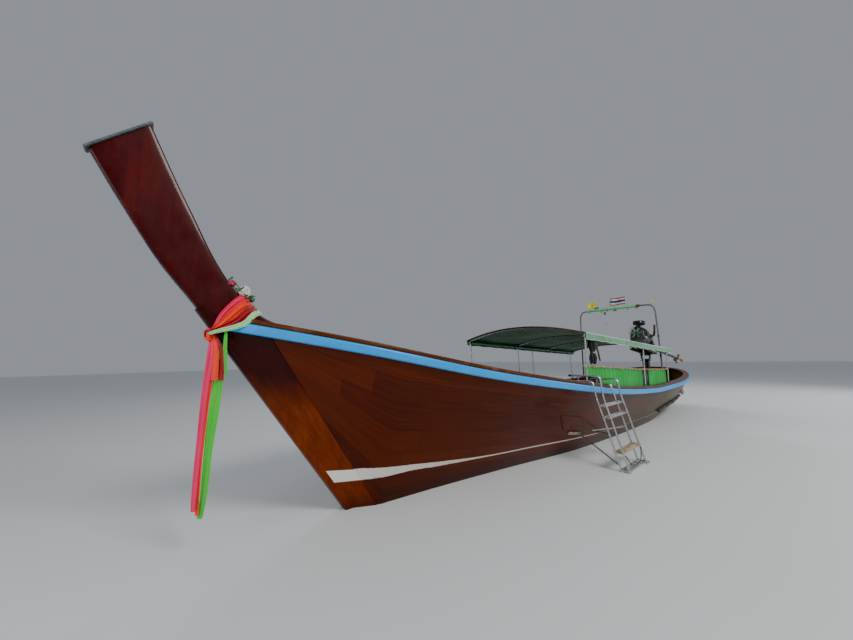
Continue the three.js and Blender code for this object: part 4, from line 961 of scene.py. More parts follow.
def rub_rail():
    """Blue half-round moulding: a rounded strip that comes to a point at the stem."""
    outline = rounded(RAIL_DEEP + 0.006, RAIL_HIGH, 0.016, 5) + (RAIL_DEEP / 2 - 0.0015, 0)
    tip = BOW_X + 0.04
    x, *_ = plan_curve(SHEER_STEPS, tip, 0.0)
    taper = np.clip((tip + 0.012 - x) / 0.08, 0.14, 1) ** 0.8
    shaped = outline[None] * np.stack([0.45 + 0.55 * taper, taper], 1)[:, None]
    shaped = shaped + np.stack([0.008 * (1 - taper), 0.012 * (1 - taper)], 1)[:, None]
    points, run = along_sheer(shaped, tip, 0.85)
    return shell(points, along=run)


def gunwale_cap():
    """Varnished cap on the sheer: a flat board with rounded edges."""
    wide = CAP_IN + CAP_OUT
    outline = rounded(wide, CAP_HIGH, 0.011, 4) + (CAP_OUT - wide / 2, CAP_LOW + CAP_HIGH / 2)
    points, run = along_sheer(outline[None], BOW_X - 0.12)
    return shell(points, along=run)


def hull_planking():
    skin, board, rail, cap = hull_skin(), stem_board(), rub_rail(), gunwale_cap()
    for side in ("port", "starboard"):
        if side == "starboard":
            skin, board, rail, cap = mirrored(skin), mirrored(board), mirrored(rail), mirrored(cap)
        piece(f"hull_skin_{side}", [(skin, HULL_VARNISH)],
              stands_for=[f"bottom_planking_{part}_{side}" for part in ("fore", "middle", "aft")]
              + [f"side_planking_{side}"])
        piece(f"stem_board_{side}", [(board, STEM_VARNISH)])
        piece(f"rub_rail_moulding_{side}", [(rail, BLUE_PAINT)],
              stands_for=[f"rub_rail_{side}"])
        piece(f"gunwale_cap_board_{side}", [(cap, CAP_VARNISH)],
              stands_for=[f"gunwale_cap_{side}"])
    piece("stem_nose", [(stem_nose(), STEM_VARNISH)])


def hull_marks():
    """The patch let into the port side with its dark edge, a tan block, a pale strip, and the screws
    that hold the rub rail, one every 0.28 m."""
    t = np.linspace(0, 1, 14)

    def quad(corners, proud, inset=0.0):
        u, v = t[:, None, None], t[None, :, None]
        corners = np.array(corners, float)
        corners = corners + (corners.mean(0) - corners) * inset
        hind = corners[0] * (1 - v) + corners[1] * v
        fore = corners[2] * (1 - v) + corners[3] * v
        grid = hind * (1 - u) + fore * u
        return on_hull(grid[..., 0], grid[..., 1], proud)

    # x and z of the low and top corner behind, then of the low and top corner ahead
    outline = [(0.192, 0.337), (0.359, 0.553), (0.705, 0.417), (0.917, 0.659)]
    edge, patch = quad(outline, 0.0025), quad(outline, 0.0055, 0.07)
    piece("hull_patch", [(edge, BLACK_TIMBER), (patch, PATCH_VARNISH)])
    tan_block = quad([(0.289, 0.29), (0.289, 0.33), (0.525, 0.326), (0.525, 0.366)], 0.016)
    pale_strip = quad([(-1.543, 0.134), (-1.543, 0.15), (-0.126, 0.284), (-0.126, 0.3)], 0.004)
    piece("hull_battens", [(tan_block, TREAD_WOOD), (pale_strip, PALE_STRIP)])
    x, y, nx, ny, _ = plan_curve(42, BOW_X - 0.1, 0.0)
    head = turned((0, 0, 0), (0, 0, 1), [(0, 0.008), (0.0015, 0.008), (0.003, 0.005), (0.003, 0.0)], 10)
    for side, sign in (("port", 1), ("starboard", -1)):
        at = np.stack([x + nx * (RAIL_DEEP + 0.001), sign * (y + ny * (RAIL_DEEP + 0.001)), sheer(x)], 1)
        heads = scattered(head, at, turned_to(np.stack([nx, sign * ny, 0 * nx], 1)))
        piece(f"rail_screws_{side}", [(heads, BLUE_PAINT)])


PATCH_VARNISH = varnish("patch_varnish", tint(48, 18, 6), tint(84, 34, 12), tint(108, 50, 20), (0.6, 9, 9),
                        0.4)
PALE_STRIP = painted_wood("pale_strip", tint(206, 204, 190), tint(170, 166, 150), tint(120, 92, 66), 0.64)
hull_planking()
hull_marks()


# Prow
PROW_FRONT = [(4.742, 1.80), (4.782, 1.862), (5.02, 2.18), (5.27, 2.60), (5.43, 2.89)]
PROW_BACK = [
    (4.405, 1.745), (4.46, 1.93), (4.57, 2.08), (4.69, 2.28), (4.82, 2.55), (4.95, 2.82), (5.12, 3.2),
]
KNEE_CREST = [
    (3.90, 1.665), (3.955, 1.7), (4.1, 1.722), (4.2, 1.75), (4.31, 1.808), (4.41, 1.9), (4.47, 1.98),
]


def prow_board():
    """The tall prow: each cross-section is a rounded plank between the front and back curves, a
    little thicker in the middle of the lower part, and slightly hollow on its broad faces."""
    n = 90
    front, back = spline(PROW_FRONT, n), spline(PROW_BACK, n)
    middle, across = (front + back) / 2, front - back
    width = np.linalg.norm(across, axis=1)
    side = across / width[:, None]
    s = np.linspace(0, 1, n)
    thick = 0.082 - 0.008 * s
    a = np.linspace(0, 2 * np.pi, 72, endpoint=False)
    c, d = np.cos(a), np.sin(a)
    flat = np.sign(c) * np.abs(c) ** 0.30
    deep = np.sign(d) * np.abs(d) ** 0.22
    hollow = 1 - 0.06 * np.exp(-(flat / 0.55) ** 2)
    along = middle[:, None] + side[:, None] * (width[:, None, None] / 2 * flat[None, :, None])
    y = thick[:, None] / 2 * (deep * hollow)[None]
    return shell(np.stack([along[..., 0], y, along[..., 1]], -1), along=s * 1.6)


def prow_cap():
    """Worn grey board across the tip: a rounded outline carried from the front corner to the back."""
    front, back = (np.array([edge[-1][0], 0, edge[-1][1]]) for edge in (PROW_FRONT, PROW_BACK))
    out = np.array([0.707, 0, 0.707])
    along = unit(back - front)
    t = np.array([0, 0.004, 0.012, 0.1, 0.3, 0.5, 0.7, 0.9, 0.988, 0.996, 1])
    length = np.linalg.norm(back - front) + 0.036
    path = front - along * 0.018 + along * (t * length)[:, None] + out * 0.0095
    grow = np.r_[0.86, 0.95, 1, 1, 1, 1, 1, 1, 1, 0.95, 0.86]
    return carried(path, rounded(0.106, 0.017, 0.006, 4), lean=out, grow=grow)


def edge_strip():
    """Thin pale strip on the prow's front edge: lighter edge wood, and a painted highlight along that edge.
    """
    front = spline(PROW_FRONT, 60)[2:]
    path = np.stack([front[:, 0] + 0.0008, 0 * front[:, 0], front[:, 1] - 0.0004], 1)
    return carried(path, rounded(0.034, 0.006, 0.0025), lean=(1, 0, -0.6))


def breasthook():
    """Dark red knee between the prow's back edge and the caps: each cross-section is a low arch whose
    crest follows the given line and whose foot stands inside the sheer."""
    x = np.linspace(3.94, 4.47, 40)
    top = line_through(KNEE_CREST, x)
    low = sheer(x) + 0.03
    half = np.maximum(half_beam(x) - 0.012, 0.045)
    a = np.linspace(0, np.pi, 25)
    arch = np.abs(np.sin(a)) ** 0.55
    narrow = 1 - 0.42 * np.clip((x - 3.95) / 0.4, 0, 1)
    y = np.cos(a)[None] * half[:, None] * (1 - arch[None] * (1 - narrow[:, None]))
    z = low[:, None] + (top - low)[:, None] * arch[None]
    return shell(np.stack([np.broadcast_to(x[:, None], y.shape), y, z], -1))


def prow():
    piece("prow_plank", [(prow_board(), RED_VARNISH)], stands_for=["prow_board"])
    piece("prow_tip_cap", [(prow_cap(), GREY_TIP)], stands_for=["prow_cap"])
    # pale strip: lighter edge wood and a painted highlight on the prow's front edge
    piece("prow_edge_strip", [(edge_strip(), GREY_TIP)])
    piece("breasthook", [(breasthook(), RED_VARNISH)])


prow()


# Ribbons and garland
RIBBON_THICK = 0.0016


def strip(path, across, width, folds, waves, count, phase):
    """A ribbon: the path's points spread over a width across it, with lengthwise folds that push each
    point along the surface normal by folds·sin(waves·2π·v + phase), the phase turning by 2.2 over
    the ribbon's length."""
    v = np.linspace(-0.5, 0.5, count)
    across = unit(np.broadcast_to(np.asarray(across, float), path.shape))
    ahead = unit(np.gradient(path, axis=0))
    normal = unit(np.cross(ahead, across))
    width = np.broadcast_to(np.asarray(width, float), (len(path),))
    depth = np.broadcast_to(np.asarray(folds, float), (len(path),))
    wave = np.sin(waves * 2 * np.pi * v[None] + phase + 2.2 * np.linspace(0, 1, len(path))[:, None])
    grid = path[:, None] + across[:, None] * (v[None] * width[:, None])[..., None]
    grid = grid + normal[:, None] * (wave * depth[:, None])[..., None]
    return cloth(grid, RIBBON_THICK)


def band_path(offset, lift):
    """Round the prow: from the knot aft over the port rail and cap, over the knee's crest and down
    the starboard side; offset is the place across the band, −0.5 at its lower edge, 0.5 at its top."""
    low, high = 0.5 - offset, 0.5 + offset
    aft_x = 4.31 * low + 4.455 * high
    aft = np.array([aft_x, float(line_through(KNEE_CREST, aft_x)) + 0.012])
    mid = np.array([4.46, 1.705]) * low + np.array([4.62, 1.80]) * high
    crest = aft + (-0.012, 0.012)
    out = 0.068 + 0.12 * low + lift
    over = 0.42 * mid + 0.58 * aft + (0.0, 0.022)
    fore_z = 1.645 + 0.028 * offset
    half = [(4.706, 0.022, fore_z), (4.66, 0.45 * out + 0.034, fore_z + 0.020), (mid[0], out, mid[1]),
            (over[0], 0.70 * out + 0.012, over[1]), (aft[0] + 0.006, 0.042, aft[1] + 0.006),
            (crest[0], 0.0, crest[1])]
    return spline(half + [(x, -y, z) for x, y, z in half[:-1]][::-1], 100)


RIBBONS = [
    ("pink", PINK, 0.40, 0.058), ("orange", ORANGE, 0.16, 0.074), ("crimson", CRIMSON, -0.12, 0.060),
    ("pale_green", PALE_GREEN, -0.38, 0.042),
]


def ribbon_band():
    """Four cloths laid side by side round the prow, each drawn narrow towards the knot."""
    for k, (name, finish, offset, width) in enumerate(RIBBONS):
        path = band_path(offset, 0.004 * (k % 2))
        from_knot = np.abs(np.linspace(-1, 1, len(path)))
        spread = width * (1.15 - 0.72 * from_knot**2)
        folds = 0.004 * (1 - from_knot**4) + 0.002
        ahead = unit(np.gradient(path, axis=0))
        slope = unit(np.stack([0.72 + 0 * from_knot, 0 * from_knot, 0.70 + 0 * from_knot], 1))
        across = unit(slope - (slope * ahead).sum(1)[:, None] * ahead)
        made = piece(f"ribbon_band_{name}", [(strip(path, across, spread, folds, 2, 13, k), finish)],
                     stands_for=["ribbon_wrap"] if k == 0 else ())


def ribbon_knot():
    """The knot before the stem: three loops of cloth, each a strip carried round a tilted oval ring,
    (0.8·cos a, 1.15·sin a·cos tilt, sin a·sin tilt)·r, that also waves up and down by 6 mm·sin 3a."""
    a = np.linspace(0, 2 * np.pi, 46)
    for k, (name, finish, tilt, centre, width) in enumerate((
        ("pink", PINK, 0.3, (0.0, 0.004, 0.012), 0.042),
        ("orange", ORANGE, -0.5, (0.006, -0.006, -0.016), 0.046),
        ("crimson", CRIMSON, 1.2, (0.008, 0.008, 0.0), 0.030),
    )):
        r = 0.030 + 0.003 * k
        rise = r * np.sin(a) * np.sin(tilt) + 0.006 * np.sin(3 * a)
        ring = np.stack([r * np.cos(a) * 0.8, r * 1.15 * np.sin(a) * np.cos(tilt), rise], 1)
        across = unit(np.cross(unit(np.gradient(ring, axis=0)), unit(ring)))
        path = KNOT_AT + np.array(centre) + ring
        made = piece(f"ribbon_knot_{name}", [(strip(path, across, width, 0.003, 2, 11, k), finish)])


TAIL_TOP, TAIL_WAY = np.array([4.70, 0.0]), np.array([-0.70, 0.714])
TAILS = [
    # name, finish, depth, fold, then (height, place across, width)
    ("pink", PINK, 0.014, 0.007, [(1.64, 0.046, 0.030), (1.50, 0.060, 0.042), (1.14, 0.026, 0.048),
                                  (0.77, 0.003, 0.046), (0.41, -0.006, 0.040), (0.335, -0.006, 0.034)]),
    ("orange", ORANGE, 0.007, 0.006, [(1.64, 0.062, 0.034), (1.50, 0.094, 0.066), (1.285, 0.092, 0.072)]),
    ("crimson", CRIMSON, -0.002, 0.005,
     [(1.64, 0.076, 0.030), (1.50, 0.138, 0.044), (1.283, 0.146, 0.042)]),
    ("amber", ORANGE, 0.002, 0.003, [(1.52, 0.066, 0.028), (1.285, 0.066, 0.028), (1.14, 0.050, 0.026),
                                     (0.77, 0.028, 0.024), (0.41, 0.012, 0.028), (0.30, 0.012, 0.028)]),
    ("green", BRIGHT_GREEN, -0.013, 0.009,
     [(1.52, 0.100, 0.050), (1.30, 0.111, 0.074), (1.14, 0.102, 0.074),
      (0.77, 0.068, 0.062), (0.41, 0.042, 0.050), (0.272, 0.022, 0.040)]),
    ("pale", BRIGHT_GREEN, 0.016, 0.003, [(1.665, 0.165, 0.020), (1.60, 0.170, 0.026), (1.45, 0.187, 0.030),
                                          (1.31, 0.197, 0.018)]),
]


def ribbon_tails():
    """The tails hang from the knot, side by side: each is a strip through places read off at given
    heights, swayed by 4 mm·sin of its depth and pleated lengthwise, looser towards its end."""
    toward = np.array([0.714, 0.70, 0.0])
    for k, (name, finish, depth, fold, places) in enumerate(TAILS):
        z, place, width = np.array(places).T
        t = np.linspace(0, 1, 110)
        high = z[0] + (z[-1] - z[0]) * t
        across = line_through([(-a, b) for a, b in zip(z, place)], -high)
        wide = line_through([(-a, b) for a, b in zip(z, width)], -high) * (1 + 0.05 * np.sin(9 * t + k))
        drop = z[0] - high
        front = depth * np.clip(drop / 0.12, 0.3, 1) + 0.004 * np.sin(6 * drop + k)
        path = np.c_[TAIL_TOP + across[:, None] * TAIL_WAY, high] + front[:, None] * toward
        folds = fold * (1 - 0.45 * t) * (0.65 + 0.35 * np.sin(7.5 * drop + k) ** 2)
        tail = strip(path, (*TAIL_WAY, 0), wide, folds, 1.5, 15, 1.3 * k)
        made = piece(f"ribbon_tail_{name}", [(tail, finish)],
                     stands_for=["ribbon_tails"] if k == 0 else ())


def petal(length, width, cup, rows=6):
    """A petal along +X: half-width = width/2·sin(πu)^0.7, lifted by cup·u² and curled at its tip."""
    u, v = np.linspace(0.02, 1, rows)[:, None], np.linspace(-1, 1, 5)[None]
    half = width / 2 * np.sin(np.pi * np.clip(u * 0.93, 0, 1)) ** 0.7
    x = length * (u - 0.12 * u**4) + 0 * v
    grid = np.stack([x, half * v, cup * u**2 + 0.25 * half * v**2 - 0.3 * cup * u**6 + 0 * v], -1)
    return cloth(grid, 0.0008)


def bloom(layers):
    """Rings of petals about +Z, each ring turned half a petal and standing steeper than the last."""
    made = []
    for k, (count, length, width, cup, rise) in enumerate(layers):
        a = 2 * np.pi * (np.arange(count) + 0.5 * k) / count
        made.append(scattered(petal(length, width, cup), np.tile([0, 0, rise], (count, 1)), spins(a)))
    return together(made)


def garland():
    """Blooms and leaves lashed behind the prow: each cluster is a set of places spread over a ball,
    the blooms facing out of it, drawn from a seeded list."""
    white = bloom([(8, 0.028, 0.017, 0.010, 0), (7, 0.022, 0.014, 0.016, 0.002),
                   (5, 0.014, 0.010, 0.015, 0.003)])
    small = bloom([(7, 0.021, 0.013, 0.007, 0), (5, 0.014, 0.010, 0.012, 0.001)])
    leaf = petal(0.055, 0.020, 0.012, 7)

    def cluster(flower, middle, spread, count, size):
        aim = unit(rng.normal(size=(count, 3)) + (-0.35, 0.25, 0.25))
        at = np.array(middle) + aim * np.array(spread) * rng.uniform(0.75, 1.0, (count, 1))
        return scattered(flower, at, turned_to(aim, rng.uniform(0, 6.28, count)),
                         rng.uniform(0.8, 1.15, count) * size)

    parts = [
        (cluster(white, (4.455, 0.0, 2.015), (0.034, 0.060, 0.034), 44, 1.0), WHITE_PETAL),
        (cluster(small, (4.545, 0.0, 2.070), (0.030, 0.058, 0.018), 22, 0.85), MAGENTA_PETAL),
        (cluster(small, (4.430, 0.0, 1.990), (0.036, 0.060, 0.030), 18, 0.9), WHITE_PETAL),
        (cluster(leaf, (4.405, 0.0, 1.960), (0.032, 0.056, 0.026), 40, 0.75), LEAF),
        (cluster(leaf, (4.47, 0.0, 2.01), (0.042, 0.054, 0.036), 30, 0.6), LEAF),
    ]
    y = 0.052
    loop = [(4.43, y, 1.95), (4.47, y + 0.004, 2.0), (4.52, y + 0.004, 2.06), (4.56, y, 2.105),
            (4.535, 0.0, 2.125),
            (4.56, -y, 2.105), (4.52, -y - 0.004, 2.06), (4.47, -y - 0.004, 2.0), (4.43, -y, 1.95),
            (4.40, 0, 1.955)]
    string = tube(spline(loop + loop[:1], 90), 0.0045, 8)
    piece("garland_blooms", parts, stands_for=["garland"])
    piece("garland_string", [(string, LEAF)])


ribbon_band()
ribbon_knot()
ribbon_tails()
garland()


# Benches
def thwarts():
    """Two planks to each bench, side by side with a gap, with rounded edges and nail heads."""
    for i, x in enumerate(THWART_XS):
        edges = np.array([x - THWART_WIDE / 2, x + THWART_WIDE / 2])
        half = float(hull_half(edges, THWART_Z).min()) - PLANK - 0.03
        split, top = 0.004, THWART_Z + THWART_HIGH
        boards = [block(ends, (-half, half), (THWART_Z, top), 0.006)
                  for ends in ((edges[0], x - split), (x + split, edges[1]))]
        nail = turned((0, 0, 0), (0, 0, 1), [(0, 0.006), (0.001, 0.006), (0.0022, 0.0035), (0.0024, 0)], 8)
        at = [(x + dx, sy * (half - 0.05), top - 0.0003) for dx in (-0.11, -0.05, 0.05, 0.11)
              for sy in (-1, 1)]
        piece(f"bench_{i + 1}", [(boards, THWART_WOOD), (scattered(nail, at), STEEL)],
              stands_for=[f"thwart_{i + 1}"])


thwarts()


# Canopy
def canopy_lift(x):
    return line_through(CANOPY_EDGE, x) + HOOP_LIFT + 0.0110


def roof_rise(y):
    return HOOP_RISE * (1 - (np.minimum(np.abs(y), CANOPY_HALF) / CANOPY_HALF) ** 2)


def hoop_sag(x):
    """How far the cloth dips between two hoops: sin² of the share of the bay."""
    hoops = np.array(HOOP_XS)
    i = np.clip(np.searchsorted(hoops, x) - 1, 0, len(hoops) - 2)
    share = np.clip((x - hoops[i]) / (hoops[i + 1] - hoops[i]), 0, 1)
    return np.sin(np.pi * share) ** 2


def canopy_surface(y_side, drop, x):
    """Height over the roof: the parabola over the hoops, less a dip between them that is greatest
    between the ridge and the edge, plus slack ripples that run along the boat."""
    bay = hoop_sag(x)
    over = 1 - (np.abs(y_side) / CANOPY_HALF) ** 4
    ripple = 0.004 * np.sin(x * 9 + y_side * 4) * np.sin(y_side * 11 + x)
    sag = bay * (0.030 * np.clip(over, 0, 1) + ripple)
    return canopy_lift(x) + 0.003 + roof_rise(y_side) - np.where(drop > 0, 0, sag) - drop


def canopy():
    """One sheet over the hoops with brown hems and seams, and along both edges a scalloped green
    valance between pale piping."""
    x = np.linspace(*CANOPY_ENDS, 150)[:, None]
    roof = np.linspace(-CANOPY_HALF, CANOPY_HALF, 81)
    bend = np.array([1.078, 1.090, VALANCE_Y])
    y = np.r_[-bend[::-1], roof, bend][None]
    drop = np.r_[0.016, 0.006, 0.001, 0 * roof, 0.001, 0.006, 0.016][None]
    sheet = np.stack([x + 0 * y, y + 0 * x, canopy_surface(y, drop, x)], -1)
    made = piece("canopy_sheet", [(cloth(sheet, 0.004), CANOPY_CLOTH)],
                 stands_for=["canopy_cloth"])
    for name, edge, shift in (("aft", sheet[0], -0.001), ("fore", sheet[-1], 0.001)):
        roll = tube(spline((edge + (shift, 0, 0))[::3], 160), 0.0085, 8)
        piece(f"canopy_hem_{name}", [(roll, BROWN_TAPE)])
    seams = []
    xs = np.linspace(CANOPY_ENDS[0] + 0.01, CANOPY_ENDS[1] - 0.01, 120)
    for y_seam in (-0.63, -0.21, 0.21, 0.63):
        line = np.stack([xs, 0 * xs + y_seam, canopy_surface(y_seam + 0 * xs, 0 * xs, xs)], 1)
        seams.append(carried(line, rounded(0.024, 0.0075, 0.003), lean=(0, 0, 1)))
    piece("canopy_seams", [(seams, BROWN_TAPE)])
    for side, sign in (("port", 1), ("starboard", -1)):
        xs = np.linspace(CANOPY_ENDS[0] + 0.004, CANOPY_ENDS[1] - 0.004, 420)[:, None]
        t = np.linspace(0, 1, 12)[None]
        scallop = 1 - 0.10 * np.abs(np.sin(np.pi * xs / 0.34))
        out = VALANCE_Y + 0.007 * t * np.sin(xs * 23 + 1.5 * np.sin(xs * 5)) + 0.002 * np.sin(xs * 71) * t
        z = canopy_lift(xs) - 0.010 - VALANCE_LONG * t * scallop
        grid = np.stack([xs + 0 * t, sign * out, z + 0 * out], -1)
        hem = tube(np.stack([xs[::2, 0], sign * out[::2, -1], z[::2, -1]], 1), 0.0035, 6)
        top = tube(np.stack([xs[::2, 0], sign * (out[::2, 0] + 0.001), z[::2, 0] + 0.004], 1), 0.006, 6)
        trim = piece(f"valance_piping_{side}", [([hem, top], VALANCE_PIPING)])
        made = piece(f"valance_{side}", [(cloth(grid, 0.003), VALANCE_CLOTH)])


def cap_top(x):
    return sheer(x) + CAP_TOP


def rail_height(x):
    return float(line_through(CANOPY_EDGE, x))


def rail_clamp(x, sign, reach):
    """A clamp round a side rail, reaching as far ahead of x as behind it."""
    at = np.array([x, sign * CANOPY_HALF, rail_height(x)])
    return rod(at - (reach, 0, 0), at + (reach, 0, 0), PIPE + 0.003, 14, 0.003)


def hoop(x):
    """Bent tube: up from the side rail, round a tight corner and over the roof's parabola."""
    edge = rail_height(x)
    low = edge + PIPE + 0.0009
    y = np.linspace(-0.99, 0.99, 41)
    arch = np.stack([0 * y + x, y, edge + HOOP_LIFT + roof_rise(y)], 1)
    port = [(x, 1.060, low), (x, 1.0595, low + 0.010), (x, 1.045, low + 0.022)]
    starboard = [(a, -b, c) for a, b, c in port]
    return tube(spline(np.r_[starboard, arch, port[::-1]], 120), HOOP_PIPE, 12)


def canopy_frame():
    """Side rails, posts with round base flanges and bolts, T-clamps at the joints, and the hoops."""
    flange = [(0, 0.036), (0.004, 0.036), (0.006, 0.033), (0.007, 0.019), (0.03, 0.0165), (0.032, 0.012)]
    bolt = turned((0, 0, 0), (0, 0, 1), [(0, 0.0055), (0.004, 0.0055), (0.005, 0.003), (0.0051, 0)], 6)
    for k, x in enumerate(HOOP_XS):
        clamps = [rail_clamp(x, sign, 0.022) for sign in (-1, 1)]
        piece(f"hoop_tube_{4 - k}", [(hoop(x), STEEL), (clamps, GALVANISED)],
              stands_for=[f"canopy_hoop_{4 - k}"])
    for side, sign in (("port", 1), ("starboard", -1)):
        xs = np.linspace(-3.69, 0.47, 60)
        rail = tube(np.stack([xs, 0 * xs + sign * CANOPY_HALF, line_through(CANOPY_EDGE, xs)], 1), PIPE, 14)
        parts, fittings = [rail], []
        for x in POST_XS[side]:
            foot, top = float(cap_top(x)) + 0.001, rail_height(x)
            line = spline([(x, sign * POST_Y, foot), (x, sign * (POST_Y + 0.0005), foot + 0.03),
                           (x, sign * (POST_Y + 0.01), (foot + top) / 2), (x, sign * CANOPY_HALF, top)], 30)
            parts.append(tube(line, HOOP_PIPE, 14))
            fittings.append(turned((x, sign * POST_Y, foot), (0, 0, 1), flange, 20))
            fittings.append(rail_clamp(x, sign, 0.02))
            bolts = [(x + 0.026 * np.cos(a), sign * POST_Y + 0.026 * np.sin(a), foot + 0.003)
                     for a in (0.8, 2.4, 3.9, 5.5)]
            fittings.append(scattered(bolt, bolts))
        piece(f"side_rail_{side}", [(parts, STEEL), (fittings, GALVANISED)],
              stands_for=[f"canopy_side_{side}"])
    slant = spline([(-0.015, 1.052, 1.335), (0.06, 1.056, 1.50), (0.145, 1.060, 1.635)], 24)
    piece("slanting_strut", [(rope(slant, 0.012, 0.05), BROWN_TAPE)])


canopy()
canopy_frame()


# Green side sheet to port in two parts, laced to a rope, and the tied curtain
SHEET_PARTS = [
    # part, aft end, fore end, the node it stands for
    ("aft", -3.45, -2.32, ()), ("fore", -1.95, 0.41, ("side_sheet_port",)),
]


PLEAT_DEEP = 0.009


def pleats(x, t):
    """Vertical pleats: the depth times a sine of the run, with finer ones that lean with the height t,
    all of them deepest at the top."""
    return PLEAT_DEEP * (np.sin(x * 52 + 1.8 * np.sin(x * 7))
                         + 0.35 * np.sin(x * 131 + 4 * t)) * (0.55 + 0.45 * t)


def side_sheets():
    """Two pleated sheets inside the posts, from the gunwale cap, or over the ladder's hooks, to the
    rope, and the dark cloth between them."""
    for part, aft, fore, stands in SHEET_PARTS:
        x = np.linspace(aft, fore, 260)[:, None]
        t = np.linspace(0, 1, 26)[None]
        over_hooks = np.clip((x + 0.15) / 0.10, 0, 1)
        low = cap_top(x) + 0.003 + 0.110 * over_hooks * over_hooks * (3 - 2 * over_hooks)
        tie = 0.010 * np.abs(np.sin(np.pi * x / 0.16))
        top = line_through(SHEET_TOP, x) - 0.004 - tie
        y = SHEET_Y + pleats(x, t)
        grid = np.stack([x + 0 * y, y, low + (top - low) * t], -1)
        made = piece(f"side_sheet_{part}", [(cloth(grid, 0.0025), GREEN_SHEET)],
                     stands_for=stands)
        hem = tube(np.stack([x[:, 0], y[:, -1], (low + (top - low) * t)[:, -1]], 1), 0.005, 8)
        edge = piece(f"side_sheet_hem_{part}", [(hem, PALE_ROPE)])
    x = np.linspace(-2.34, -1.93, 60)[:, None]
    t = np.linspace(0, 1, 24)[None]
    low, top = cap_top(x) + 0.003, line_through(SHEET_TOP, x) + 0.01
    y = SHEET_Y - 0.016 + 0.012 * np.sin(x * 75) * (0.5 + 0.25 * np.cos(2 * np.pi * t))
    grid = np.stack([x + 0 * y, y, low + (top - low) * t], -1)
    made = piece("dark_gap_cloth", [(cloth(grid, 0.0025), DARK_CLOTH)])


def top_rope():
    """Rope along the sheet's top, sagging 6 mm between ties, with a lacing that passes round it and
    through the hem every 80 mm: one helix, wide across the rope and drawn down to the cloth."""
    x = np.linspace(-3.455, 0.435, 300)
    z = line_through(SHEET_TOP, x) + 0.004 - 0.006 * np.abs(np.sin(np.pi * (x - 0.44) / 0.8))
    path = np.stack([x, 0 * x + SHEET_Y + 0.004, z], 1)
    a = np.linspace(0, 2 * np.pi * 48, 48 * 14)
    xs = np.interp(a, (a[0], a[-1]), (-3.44, 0.41))
    low = np.interp(xs, x, z) - 0.014
    lace = np.stack([xs, SHEET_Y + 0.004 + 0.013 * np.cos(a), low + 0.024 * np.sin(a)], 1)
    ties = [lashing((px, 1.026, float(line_through(SHEET_TOP, px))), (0, 0, 1), 0.022, 4, 0.008, 0.004, 0.9,
                    1.2)
            for px in POST_XS["port"]]
    piece("top_rope", [(rope(path, 0.0065, 0.05), PALE_ROPE), (ties, PALE_ROPE),
                       (tube(lace, 0.0028, 6), RED_ROPE)])
    for name, px in (("tie_end_aft", -3.45), ("tie_end_fore", 0.44)):
        z = float(line_through(SHEET_TOP, px))
        hanging_cord(name, [(px + 0.012, 1.050, z - 0.006), (px + 0.022, 1.062, z - 0.03),
                            (px + 0.028, 1.064, z - 0.07),
                            (px + 0.030, 1.060, z - 0.125)], 0.004, PALE_ROPE)


def tied_curtain():
    """A curtain bundled below the rail: in plan a ring with eleven deep folds, r = r0(h)·(1 + 0.28·
    cos 11a), drawn in at the tie, wider along the boat, hanging as one thin cloth."""
    x_mid, y_mid, foot, waist = 0.2, 1.045, 1.302, 0.56
    top = rail_height(x_mid) - PIPE - 0.002
    h = np.linspace(0, 1, 60)[:, None]
    a = np.linspace(0, 2 * np.pi, 154, endpoint=False)[None]
    heights, radii = [0, 0.25, 0.5, waist, 0.62, 0.8, 1.0], [0.030, 0.038, 0.026, 0.020, 0.027, 0.036,
                                                             0.026]
    r0 = line_through(list(zip(heights, radii)), h)
    fold = 1 + (0.28 - 0.12 * np.exp(-((h - waist) / 0.07) ** 2)) * np.cos(11 * a + 1.2 * np.sin(3 * h + a))
    r = r0 * fold
    z = top - (top - foot) * h + 0.012 * np.sin(3 * a) * np.clip((h - 0.8) / 0.2, 0, 1)
    grid = np.stack([x_mid + 1.75 * r * np.cos(a), y_mid + r * np.sin(a), z], -1)
    made = piece("curtain", [(cloth(grid, 0.002, around=True), DARK_CLOTH)],
                 stands_for=["tied_curtain"])
    tie = lashing((x_mid, y_mid, top - (top - foot) * waist), (0, 0, 1), 0.024, 3, 0.007, 0.0035, 1.65)
    band = piece("curtain_tie", [(tie, PALE_ROPE)])


side_sheets()
top_rope()
tied_curtain()


